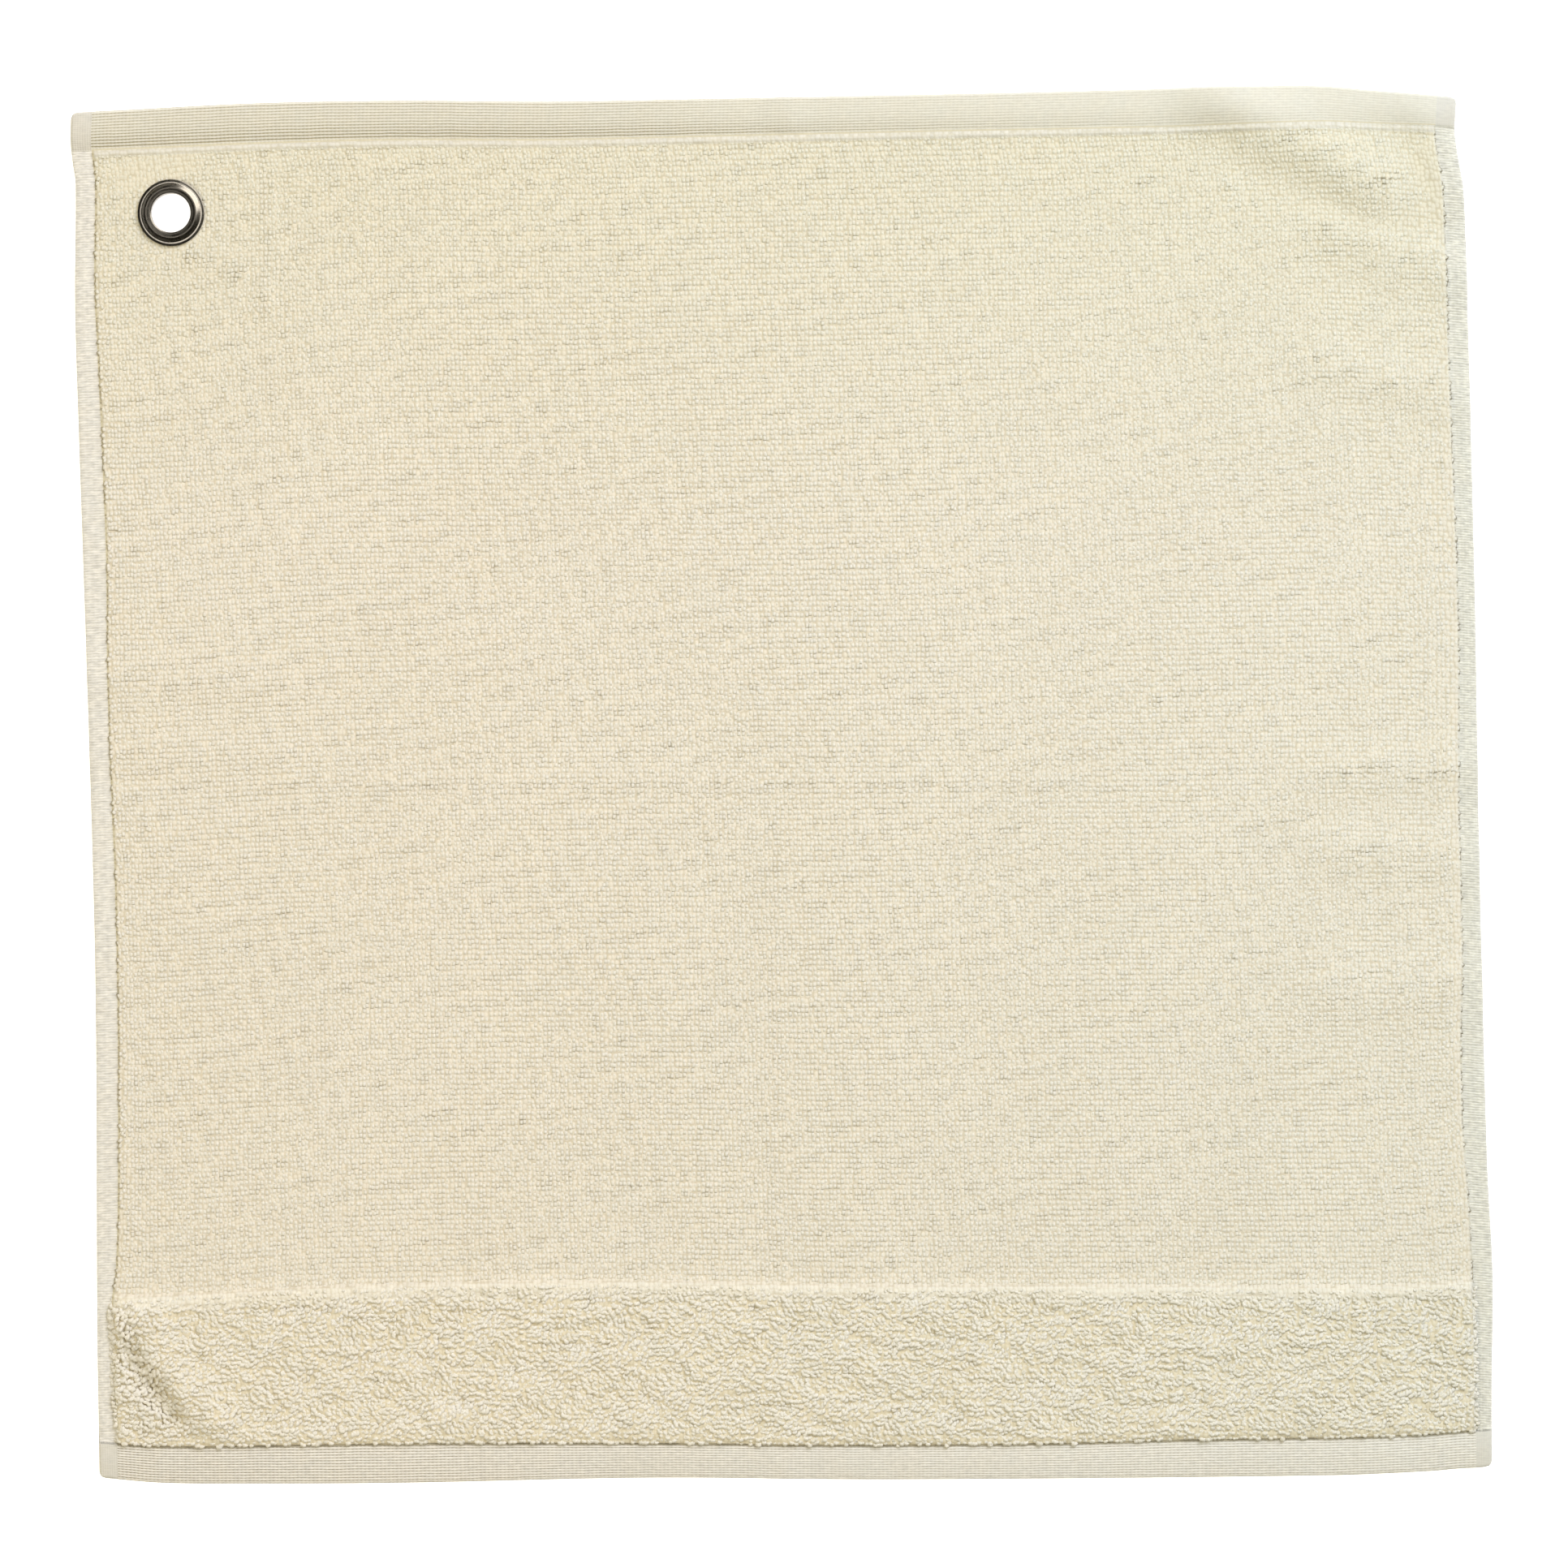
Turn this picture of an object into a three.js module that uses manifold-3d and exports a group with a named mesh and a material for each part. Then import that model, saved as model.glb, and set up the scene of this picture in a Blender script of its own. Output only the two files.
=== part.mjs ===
// A square hand towel of cotton terry with a deep-pile band and a metal eyelet, lying face up.
// Millimetres, +Z up, +X across the width, +Y towards the top hem. The origin is on the
// surface under the towel's middle.
//
// A place on the cloth is given by two distances: across, from the left edge, and down, from
// the top edge. The cloth is out of square, so both are measured along it.

import * as THREE from 'three';
import { mergeVertices } from 'three/addons/utils/BufferGeometryUtils.js';
import Module from 'manifold-3d';

// Driving dimensions of the cloth.
const WIDTH = 500;
const SELVEDGE = { left: 7.0, right: 7.6, thick: 1.3 };
const HEM_THICK = 2.2;
const TERRY_THICK = 2.6;
const BAND = { thick: 4.7, lump: 0.75, over: 1.4, ragged: 1.1, grain: 6.2 };
const BAND_RIDGE = { thick: 5.1, lump: 0.2 };
const STEP = 0.4;
const RIM_LEAN = 0.4;
const CORNER_ROUND = 2.6;
const GAP = 0.3;

// The eyelet strip ends this far down from the top edge.
const STRIP_DEEP = 58;

// Where the cloth's corners lie.
const CORNERS = {
  bottomLeft: { x: -245.0, y: -248.7 },
  bottomRight: { x: 254.9, y: -244.7 },
  topLeft: { x: -255.2, y: 241.3 },
  topRight: { x: 242.1, y: 246.8 },
};

// How far each edge bows out of the straight line between its corners. along runs from the
// left corner, or from the bottom one.
const TOP_BOW = [
  { along: 0, out: 0 },
  { along: 15, out: 0.6 },
  { along: 68, out: 2.7 },
  { along: 120, out: 3.0 },
  { along: 173, out: 2.1 },
  { along: 225, out: 2.4 },
  { along: 330, out: 3.3 },
  { along: 435, out: 4.7 },
  { along: 452, out: 4.5 },
  { along: 470, out: 2.8 },
  { along: 500, out: 0 },
];
const BOTTOM_BOW = [
  { along: 0, out: 0 },
  { along: 22, out: 2.0 },
  { along: 57, out: 2.6 },
  { along: 110, out: 2.7 },
  { along: 197, out: 1.6 },
  { along: 285, out: 2.9 },
  { along: 442, out: 2.7 },
  { along: 477, out: 1.5 },
  { along: 488, out: 0.5 },
  { along: 500, out: 0 },
];
const LEFT_BOW = [
  { along: 0, out: 0 },
  { along: 52, out: -0.2 },
  { along: 175, out: -2.1 },
  { along: 256, out: -1.8 },
  { along: 379, out: -0.3 },
  { along: 425, out: 0.1 },
  { along: 469, out: -1.0 },
  { along: 477, out: -0.1 },
  { along: 484, out: 0.4 },
  { along: 495, out: 0 },
];
const RIGHT_BOW = [
  { along: 0, out: 0 },
  { along: 28, out: 0.7 },
  { along: 69, out: 2.1 },
  { along: 110, out: 1.2 },
  { along: 232, out: 1.3 },
  { along: 314, out: 2.1 },
  { along: 436, out: 2.1 },
  { along: 462, out: 1.6 },
  { along: 473, out: 0.1 },
  { along: 482, out: -0.9 },
  { along: 495, out: 0 },
];
const SIDE_LONG = 495;

// The depth of each hem, and how far the band's two edges lie from the bottom edge.
const TOP_HEM = [
  { along: 0, deep: 13.9 },
  { along: 120, deep: 14.4 },
  { along: 300, deep: 13.8 },
  { along: 430, deep: 14.0 },
  { along: 475, deep: 12.0 },
  { along: 500, deep: 10.8 },
];
const BOTTOM_HEM = [
  { along: 0, deep: 12.7 },
  { along: 110, deep: 14.0 },
  { along: 200, deep: 12.3 },
  { along: 340, deep: 12.5 },
  { along: 395, deep: 13.4 },
  { along: 500, deep: 13.2 },
];
const BAND_TOP = [
  { along: 0, deep: 65.9 },
  { along: 100, deep: 71.1 },
  { along: 250, deep: 69.8 },
  { along: 350, deep: 69.2 },
  { along: 500, deep: 66.8 },
];

// Ridges where the cloth stands off the surface, each from one place to another.
const FOLDS = [
  { name: 'corner fold, upper run', x1: -237, y1: -182, x2: -218, y2: -211, rise: 3.2, wide: 11 },
  { name: 'corner fold, lower run', x1: -218, y1: -211, x2: -199, y2: -231, rise: 3.2, wide: 11 },
  { name: 'fold below the top hem', x1: 160, y1: 243, x2: 214, y2: 217, rise: 2.4, wide: 16 },
  { name: 'top right corner', x1: 232, y1: 236, x2: 243, y2: 212, rise: 1.7, wide: 13 },
  { name: 'upper right ruffle', x1: 201, y1: 197, x2: 240, y2: 184, rise: 2.0, wide: 14 },
  { name: 'second right ruffle', x1: 198, y1: 152, x2: 240, y2: 139, rise: 1.3, wide: 18 },
  { name: 'crease across, right end', x1: 190, y1: 3.5, x2: 248, y2: 5, rise: 1.7, wide: 15 },
  { name: 'crease across, left end', x1: -245, y1: 5, x2: -188, y2: 3.5, rise: 1.0, wide: 14 },
  { name: 'third right ruffle', x1: 206, y1: -21, x2: 249, y2: -20, rise: 1.0, wide: 13 },
  { name: 'fourth right ruffle', x1: 200, y1: -75, x2: 250, y2: -72, rise: 1.2, wide: 16 },
  { name: 'left ruffle', x1: -244, y1: 38, x2: -188, y2: 34, rise: 1.0, wide: 14 },
  { name: 'crease down, top end', x1: 1.3, y1: 246, x2: 1.3, y2: 190, rise: 1.0, wide: 11 },
  { name: 'crease down, bottom end', x1: 0.4, y1: -231, x2: 0.4, y2: -249, rise: 0.9, wide: 11 },
];
const TOUCH_DOWN = 0.12;
const FOLD_FADE = 22;

// The crease across the middle, as distances down from the top edge.
const CREASE = { from: 236, to: 254 };

// The line where the band's pile parts beside the corner fold.
const PARTING = { x1: -235, y1: -190, x2: -208, y2: -231, deep: 1.5, wide: 5, fade: 6 };

// Soft unevenness of the terry.
const UNEVEN = [
  { long: 97, turn: 24, rise: 0.12 },
  { long: 61, turn: 101, rise: 0.1 },
  { long: 43, turn: 157, rise: 0.07 },
];

// Spacing of the points in the cloth's faces.
const GRID = { edge: 6.5, middle: 24, strip: 11, row: 16, crease: 5, underCrease: 9, underBand: 9 };

// Driving dimensions of the eyelet: a domed flange with its barrel, and a washer behind.
const EYELET = { x: -219.2, y: 205.2, steps: 36 };
const BARREL = { bore: 7.0, wall: 0.8, low: 0.2, curl: 8.6, curlHigh: 0.8, curlRound: 0.3 };
const FLANGE = {
  under: 2.7,
  edge: 12.0,
  edgeRound: 0.2,
  ledgeOut: 11.3,
  ledgeIn: 10.5,
  ledge: 3.3,
  domeOut: 10.3,
  crest: 8.8,
  top: 4.9,
};
const WASHER = { inner: 8.9, outer: 12.0, thick: 0.9, round: 0.2 };
const PINCH = { hole: 8.1, under: 1.2, over: 2.4, flat: 12.6, spread: 17, reach: 1.4 };

// Colours read from the object.
const COTTON = 0xe6dcc4;
const STEEL = 0x8d8983;

// A smooth curve through the rows of a table, read at a distance along it.
function through(rows, column) {
  const slope = rows.map((row, i) => {
    const before = rows[Math.max(i - 1, 0)];
    const after = rows[Math.min(i + 1, rows.length - 1)];
    return (after[column] - before[column]) / (after.along - before.along);
  });
  return (along) => {
    let i = 0;
    while (i < rows.length - 2 && along > rows[i + 1].along) i += 1;
    const gap = rows[i + 1].along - rows[i].along;
    const t = THREE.MathUtils.clamp((along - rows[i].along) / gap, 0, 1);
    const rise = 3 * t * t - 2 * t * t * t;
    const leave = t * (1 - t) * (1 - t) * gap * slope[i];
    const arrive = t * t * (t - 1) * gap * slope[i + 1];
    return THREE.MathUtils.lerp(rows[i][column], rows[i + 1][column], rise) + leave + arrive;
  };
}

const topBow = through(TOP_BOW, 'out');
const bottomBow = through(BOTTOM_BOW, 'out');
const leftBow = through(LEFT_BOW, 'out');
const rightBow = through(RIGHT_BOW, 'out');
const topHem = through(TOP_HEM, 'deep');
const bottomHem = through(BOTTOM_HEM, 'deep');
const bandTop = through(BAND_TOP, 'deep');

// The towel's length from the top edge to the bottom one, at a distance across.
function lengthAt(across) {
  const u = across / WIDTH;
  const top = THREE.MathUtils.lerp(CORNERS.topLeft.y, CORNERS.topRight.y, u) + topBow(across);
  const bottom = THREE.MathUtils.lerp(CORNERS.bottomLeft.y, CORNERS.bottomRight.y, u) - bottomBow(across);
  return top - bottom;
}

// Pulls a place near one of the four corners back onto that corner's rounding.
function roundCorner(across, down, inset) {
  const fromSide = Math.min(across, WIDTH - across);
  const long = lengthAt(across);
  const fromEnd = Math.min(down, long - down);
  if (fromSide >= CORNER_ROUND || fromEnd >= CORNER_ROUND) return [across, down];
  const away = Math.hypot(CORNER_ROUND - fromSide, CORNER_ROUND - fromEnd);
  const pull = Math.min(1, (CORNER_ROUND - inset) / away);
  const side = CORNER_ROUND - (CORNER_ROUND - fromSide) * pull;
  const end = CORNER_ROUND - (CORNER_ROUND - fromEnd) * pull;
  return [across < WIDTH / 2 ? side : WIDTH - side, down < long / 2 ? end : long - end];
}

// The point of the surface under a place on the cloth.
function place(across, down, inset = 0) {
  const [a, d] = roundCorner(across, down, inset);
  const u = a / WIDTH;
  const v = 1 - d / lengthAt(a);
  const { bottomLeft, bottomRight, topLeft, topRight } = CORNERS;
  const low = new THREE.Vector2(bottomLeft.x, bottomLeft.y).lerp(bottomRight, u);
  const high = new THREE.Vector2(topLeft.x, topLeft.y).lerp(topRight, u);
  const point = low.lerp(high, v);
  point.x += u * rightBow(v * SIDE_LONG) - (1 - u) * leftBow(v * SIDE_LONG);
  point.y += v * topBow(a) - (1 - v) * bottomBow(a);
  return point;
}

// How strongly a line from one place to another is felt at a point, from 0 to 1.
function nearLine(point, line, fade) {
  const run = new THREE.Vector2(line.x2 - line.x1, line.y2 - line.y1);
  const from = new THREE.Vector2(point.x - line.x1, point.y - line.y1);
  const long = run.length();
  const along = from.dot(run) / long;
  const beyond = Math.max(0, -along, along - long) / fade;
  const aside = Math.abs(from.cross(run)) / long / line.wide;
  return Math.exp(-(aside * aside + beyond * beyond) * 2);
}

// How far the cloth stands off the surface.
function lift(point) {
  const rise = Math.max(...FOLDS.map((fold) => fold.rise * nearLine(point, fold, FOLD_FADE)));
  return Math.max(0, rise - TOUCH_DOWN);
}

// A fixed scatter between -1 and 1 for a numbered lump of pile.
function scatter(i, j) {
  const wave = Math.sin(i * 12.9898 + j * 78.233) * 43758.5453;
  return 2 * (wave - Math.floor(wave)) - 1;
}

function unevenness(point) {
  const waves = UNEVEN.map(({ long, turn, rise }) => {
    const angle = THREE.MathUtils.degToRad(turn);
    const along = point.x * Math.cos(angle) + point.y * Math.sin(angle);
    return rise * Math.sin((2 * Math.PI * along) / long);
  });
  return waves.reduce((sum, wave) => sum + wave, 0);
}

// The cloth's thickness in a zone, beside its flat selvedges. The first row of the band's pile
// is its upright ridge.
function thickness(zone, across, point, row) {
  if (zone.name === 'hem') return HEM_THICK;
  if (across < zone.left || across > WIDTH - zone.right) return SELVEDGE.thick;
  if (zone.name === 'terry') return TERRY_THICK + unevenness(point);
  const pile = row === 0 ? BAND_RIDGE : BAND;
  const lump = pile.lump * scatter(Math.round(across / BAND.grain), row);
  return pile.thick + lump - PARTING.deep * nearLine(point, PARTING, PARTING.fade);
}

const ZONES = {
  hem: { name: 'hem', left: SELVEDGE.left, right: SELVEDGE.right },
  terry: { name: 'terry', left: SELVEDGE.left, right: SELVEDGE.right },
  band: { name: 'band', left: SELVEDGE.left - BAND.over, right: SELVEDGE.right - BAND.over },
};

// Distances from start to end whose spacing grows or shrinks evenly between two sizes.
function graded(start, end, firstGap, lastGap) {
  const count = Math.max(1, Math.round((2 * (end - start)) / (firstGap + lastGap)));
  return Array.from({ length: count - 1 }, (_, i) => {
    const t = (i + 1) / count;
    const even = (firstGap * t + ((lastGap - firstGap) * t * t) / 2) / ((firstGap + lastGap) / 2);
    return THREE.MathUtils.lerp(start, end, even);
  });
}

// Distances across the cloth at which a row has its points: close by the sides, and closest
// where the selvedge steps up to the pile.
function stationsAcross(inset, zone, pile) {
  const { left, right } = zone;
  const start = [inset, CORNER_ROUND, left - STEP, left + STEP];
  const end = [WIDTH - right - STEP, WIDTH - right + STEP, WIDTH - CORNER_ROUND, WIDTH - inset];
  return [...start, ...pile, ...end];
}

const MIDDLE = WIDTH / 2;
const FIELD_STATIONS = [
  ...graded(SELVEDGE.left, MIDDLE, GRID.edge, GRID.middle),
  MIDDLE,
  ...graded(MIDDLE, WIDTH - SELVEDGE.right, GRID.middle, GRID.edge),
];
const BAND_STATIONS = graded(ZONES.band.left, WIDTH - ZONES.band.right, BAND.grain, BAND.grain);
const FIELD_ACROSS = stationsAcross(RIM_LEAN, ZONES.terry, FIELD_STATIONS);
const BAND_ACROSS = stationsAcross(RIM_LEAN, ZONES.band, BAND_STATIONS);
const UNDER_ACROSS = [0, CORNER_ROUND, ...FIELD_STATIONS, WIDTH - CORNER_ROUND, WIDTH];

// A line across the cloth, as its distance down from the top edge.
const fromTop = (deep, extra = 0) => (across) => deep(across) + extra;
const fromBottom = (deep, extra = 0) => (across) => lengthAt(across) - deep(across) - extra;
const level = (down) => () => down;

// Evenly spaced lines between two lines, without the two.
function between(first, last, count) {
  return Array.from({ length: count - 1 }, (_, i) => {
    const t = (i + 1) / count;
    return (across) => THREE.MathUtils.lerp(first(across), last(across), t);
  });
}

// Lines from the first to the last, both included, about a given gap apart in mid-cloth.
function ranged(first, last, gap) {
  const count = Math.max(1, Math.round((last(MIDDLE) - first(MIDDLE)) / gap));
  return [first, ...between(first, last, count), last];
}

// How far the band's pile hangs below its lower line, tuft by tuft.
function ragged(across) {
  return BAND.ragged * scatter(Math.round(across / BAND.grain), 91);
}

// Triangles between two rows of points, whatever the number of points in each.
function zip(first, last, faces) {
  let i = 0;
  let j = 0;
  while (i < first.length - 1 || j < last.length - 1) {
    const here = i < first.length - 1 ? first[i + 1].key : Infinity;
    const there = j < last.length - 1 ? last[j + 1].key : Infinity;
    if (here <= there) {
      faces.push(first[i].index, last[j].index, first[i + 1].index);
      i += 1;
    } else {
      faces.push(first[i].index, last[j].index, last[j + 1].index);
      j += 1;
    }
  }
}

// One face of a piece of cloth, as rows of numbered points.
function layRows(rows, points, height, inset) {
  return rows.map((row) => row.stations.map((across) => {
    const spot = place(across, row.line(across), inset);
    points.push(spot.x, spot.y, height(row, across, spot));
    return { index: points.length / 3 - 1, key: across };
  }));
}

// The left or right ends of a face's rows, as a row of its own.
function ends(rows, lines, side) {
  return rows.map((row, number) => {
    const end = side === 'left' ? row[0] : row[row.length - 1];
    const across = side === 'left' ? 0 : WIDTH;
    return { index: end.index, key: lines[number].line(across) };
  });
}

// A closed piece of cloth from the rows of its upper face and the rows of its under face.
function clothGeometry(upperRows, underRows) {
  const points = [];
  const faces = [];
  const onTop = (row, across, spot) => lift(spot) + thickness(row.zone, across, spot, row.number);
  const upper = layRows(upperRows, points, onTop, RIM_LEAN);
  const under = layRows(underRows, points, (row, across, spot) => lift(spot), 0);
  for (let i = 0; i < upper.length - 1; i += 1) zip(upper[i], upper[i + 1], faces);
  for (let i = 0; i < under.length - 1; i += 1) zip(under[i + 1], under[i], faces);
  zip(under[0], upper[0], faces);
  zip(upper[upper.length - 1], under[under.length - 1], faces);
  zip(ends(upper, upperRows, 'left'), ends(under, underRows, 'left'), faces);
  zip(ends(under, underRows, 'right'), ends(upper, upperRows, 'right'), faces);
  const geometry = new THREE.BufferGeometry();
  geometry.setAttribute('position', new THREE.Float32BufferAttribute(points, 3));
  geometry.setIndex(faces);
  return geometry;
}

function rowsOf(zone, lines, stations) {
  return lines.map((line, number) => ({ zone, line, stations, number }));
}

// The strip along the top, with the top hem, down to just below the eyelet.
function stripGeometry() {
  const seam = level(STRIP_DEEP - GAP / 2);
  const hem = [level(RIM_LEAN), level(CORNER_ROUND), fromTop(topHem, -STEP)];
  const terry = ranged(fromTop(topHem, STEP), seam, GRID.strip);
  const upper = [...rowsOf(ZONES.hem, hem, FIELD_ACROSS), ...rowsOf(ZONES.terry, terry, FIELD_ACROSS)];
  const under = [level(0), ...ranged(level(CORNER_ROUND), seam, GRID.strip)];
  return clothGeometry(upper, rowsOf(ZONES.terry, under, UNDER_ACROSS));
}

// The rest of the cloth: the terry field, the selvedges, the deep-pile band and the bottom hem.
function fieldGeometry() {
  const seam = level(STRIP_DEEP + GAP / 2);
  const hang = (across) => bottomHem(across) + ragged(across);
  const aboveCrease = ranged(seam, level(CREASE.from), GRID.row);
  const belowCrease = ranged(level(CREASE.to), fromBottom(bandTop, STEP), GRID.row);
  const pile = ranged(fromBottom(bandTop, -STEP), fromBottom(hang, STEP), BAND.grain);
  const crease = (gap) => ranged(level(CREASE.from), level(CREASE.to), gap).slice(1, -1);
  const rounding = fromBottom(() => CORNER_ROUND);
  const upper = [
    ...rowsOf(ZONES.terry, [...aboveCrease, ...crease(GRID.crease), ...belowCrease], FIELD_ACROSS),
    ...rowsOf(ZONES.band, pile, BAND_ACROSS),
    ...rowsOf(ZONES.hem, [fromBottom(hang, -STEP)], BAND_ACROSS),
    ...rowsOf(ZONES.hem, [rounding, fromBottom(() => RIM_LEAN)], FIELD_ACROSS),
  ];
  const under = [
    ...aboveCrease,
    ...crease(GRID.underCrease),
    ...belowCrease,
    ...ranged(fromBottom(bandTop, STEP), rounding, GRID.underBand).slice(1),
    fromBottom(() => 0),
  ];
  return clothGeometry(upper, rowsOf(ZONES.terry, under, UNDER_ACROSS));
}

// A ring turned from a closed outline of radius and height pairs.
function ringGeometry(outline) {
  const profile = [...outline, outline[0]].map(([radius, height]) => new THREE.Vector2(radius, height));
  const ring = new THREE.LatheGeometry(profile, EYELET.steps);
  ring.rotateX(Math.PI / 2);
  return solidGeometry(ring);
}

// Points of a quarter of an ellipse from one angle to another, as radius and height pairs.
function arc(centre, wide, high, fromTurn, toTurn, count) {
  return Array.from({ length: count + 1 }, (_, i) => {
    const turn = THREE.MathUtils.degToRad(THREE.MathUtils.lerp(fromTurn, toTurn, i / count));
    return [centre[0] + wide * Math.cos(turn), centre[1] + high * Math.sin(turn)];
  });
}

// The same faces with their shared corners merged and nothing but positions kept.
function solidGeometry(geometry) {
  geometry.deleteAttribute('normal');
  geometry.deleteAttribute('uv');
  return mergeVertices(geometry, 1e-4);
}

// The flange with its barrel: the curl behind, the rim, the flat ledge, and the dome that
// rises from the ledge and rolls over into the bore.
function flangeOutline() {
  const { under, edge, edgeRound, ledgeOut, ledgeIn, ledge, domeOut, crest, top } = FLANGE;
  const { bore, wall, low, curl, curlHigh, curlRound } = BARREL;
  return [
    [bore, low],
    [curl - curlRound, low],
    [curl, (low + curlHigh) / 2],
    [curl - curlRound, curlHigh],
    [bore + wall, curlHigh + GAP],
    [bore + wall, under],
    [edge - edgeRound, under],
    [edge, (under + ledge) / 2],
    [ledgeOut, ledge],
    [ledgeIn, ledge],
    ...arc([crest, ledge], domeOut - crest, top - ledge, 20, 90, 4),
    ...arc([crest, ledge], crest - bore, top - ledge, 110, 180, 4),
  ];
}

function washerOutline() {
  const { inner, outer, thick, round } = WASHER;
  return [[inner, 0], [outer - round, 0], [outer, thick / 2], [outer - round, thick], [inner, thick]];
}

const wasm = await Module();
wasm.setup();

function toManifold(geometry) {
  const source = geometry.index ? geometry : solidGeometry(geometry);
  return new wasm.Manifold(new wasm.Mesh({
    numProp: 3,
    vertProperties: new Float32Array(source.attributes.position.array),
    triVerts: new Uint32Array(source.index.array),
  }));
}

function fromManifold(solid) {
  const mesh = solid.getMesh();
  const geometry = new THREE.BufferGeometry();
  geometry.setAttribute('position', new THREE.Float32BufferAttribute(mesh.vertProperties, 3));
  geometry.setIndex(new THREE.Uint32BufferAttribute(mesh.triVerts, 1));
  return geometry;
}

// The eyelet's hole, and the cloth drawn in under the flange and over the washer.
function pinchedStrip() {
  const { hole, under, over, flat, spread, reach } = PINCH;
  const above = TERRY_THICK + reach;
  const bore = ringGeometry([[0, -reach], [hole, -reach], [hole, above], [0, above]]);
  const pocket = ringGeometry([[0, -reach], [spread, -reach], [flat, under], [0, under]]);
  const dish = ringGeometry([[0, over], [flat, over], [spread, over + reach], [0, over + reach]]);
  const tools = [bore, pocket, dish].map((tool) => toManifold(tool.translate(EYELET.x, EYELET.y, 0)));
  const strip = toManifold(stripGeometry());
  return fromManifold(tools.reduce((cloth, tool) => cloth.subtract(tool), strip));
}

const cotton = () => new THREE.MeshStandardMaterial({ color: COTTON, roughness: 0.95, metalness: 0 });
const steel = () => new THREE.MeshStandardMaterial({ color: STEEL, roughness: 0.25, metalness: 1 });

function addPiece(group, name, geometry, material) {
  const piece = new THREE.Mesh(geometry, material);
  piece.name = name;
  group.add(piece);
}

const towel = new THREE.Group();
addPiece(towel, 'terry_cloth', fieldGeometry(), cotton());
addPiece(towel, 'eyelet_strip', pinchedStrip(), cotton());

const eyelet = new THREE.Group();
eyelet.position.set(EYELET.x, EYELET.y, 0);
addPiece(eyelet, 'eyelet_flange', ringGeometry(flangeOutline()), steel());
addPiece(eyelet, 'eyelet_washer', ringGeometry(washerOutline()), steel());
towel.add(eyelet);

export default towel;
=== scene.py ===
"""Dresses the hand towel: a cream cotton terry cloth with flat selvedges, ribbed hems, a deep-pile
band and a nickel eyelet, lying face up on a pale floor and seen from straight above.

Sizes are in millimetres and become metres where a mesh is written. A place on the cloth is given by
two distances: across, from the left edge, and down, from the top edge. A run is the range over which
something sets in or fades, and a drift is a smooth wandering pattern.
"""

import logging
import math
from collections.abc import Callable
from dataclasses import dataclass, field
from enum import Enum

import bpy
import numpy as np
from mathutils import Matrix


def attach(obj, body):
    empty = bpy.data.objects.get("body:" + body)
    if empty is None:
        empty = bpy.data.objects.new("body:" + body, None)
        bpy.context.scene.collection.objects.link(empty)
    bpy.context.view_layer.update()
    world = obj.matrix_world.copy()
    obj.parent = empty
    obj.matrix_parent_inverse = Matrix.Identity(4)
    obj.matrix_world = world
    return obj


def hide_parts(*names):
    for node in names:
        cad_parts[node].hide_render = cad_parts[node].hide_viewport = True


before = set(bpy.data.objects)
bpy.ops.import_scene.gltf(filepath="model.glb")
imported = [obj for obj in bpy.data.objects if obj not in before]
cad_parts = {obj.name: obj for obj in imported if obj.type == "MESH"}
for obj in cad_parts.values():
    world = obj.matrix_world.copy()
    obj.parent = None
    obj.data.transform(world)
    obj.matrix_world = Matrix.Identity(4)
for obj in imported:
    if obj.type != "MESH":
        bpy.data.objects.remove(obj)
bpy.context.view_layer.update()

LOG = logging.getLogger("hand_towel")
MM = 0.001
BODY = "root"
CLOTH_MAP = "cloth_map"
TINT = "tint"
TURN = "turn"
SIZE = "size"
RISE = "rise"
DEPTH_AND_SHADE = "gap_depth_and_shade"

Rows = tuple[tuple[float, float], ...]
Span = tuple[float, float]
Colour = tuple[float, float, float]
WHITE: Colour = (1.0, 1.0, 1.0)
MIDDLE_GREY: Colour = (0.5, 0.5, 0.5)
TINY = 1e-6
WAVES = 9
WAVE_SPREAD: Span = (0.7, 1.5)


class Slot(Enum):
    """The record's material slots."""

    TERRY = "terry"
    METAL = "eyelet_metal"


class Zone(Enum):
    """The zones down the cloth, in the order of their rows."""

    TOP_HEM = 0
    FIELD = 1
    BAND = 2
    BOTTOM_HEM = 3


class Kind(Enum):
    """The finishes of the sheet, in the order of its material slots."""

    TERRY = 0
    HEM = 1
    SELVEDGE = 2
    CORNER = 3
    ROLL = 4
    GROOVE = 5
    RIGHT_SELVEDGE = 6
    LOW_HEM = 7
    GROUND = 8
    RIDGE = 9
    LOW_GAP = 10


def smooth_step(value: np.ndarray, low: float, high: float) -> np.ndarray:
    """Eases from 0 at low to 1 at high.

    Args:
        value: where to read the step.
        low: where it starts.
        high: where it ends.

    Returns:
        The eased step at each value.
    """
    t = np.clip((value - low) / (high - low), 0.0, 1.0)
    return t * t * (3.0 - 2.0 * t)


def curve_through(rows: Rows, along: np.ndarray) -> np.ndarray:
    """Reads a short table as a smooth curve.

    Args:
        rows: pairs of a distance along and the value there.
        along: the distances at which it is read.

    Returns:
        The value at each distance.
    """
    x, y = np.array(rows, float).T
    before = np.maximum(np.arange(len(x)) - 1, 0)
    after = np.minimum(np.arange(len(x)) + 1, len(x) - 1)
    slope = (y[after] - y[before]) / (x[after] - x[before])
    where = np.clip(np.asarray(along, float), x[0], x[-1])
    i = np.clip(np.searchsorted(x, where, side="right") - 1, 0, len(x) - 2)
    gap = x[i + 1] - x[i]
    t = (where - x[i]) / gap
    rise = 3 * t**2 - 2 * t**3
    leave = t * (1 - t) ** 2 * gap * slope[i]
    arrive = t**2 * (t - 1) * gap * slope[i + 1]
    return y[i] + (y[i + 1] - y[i]) * rise + leave + arrive


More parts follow.
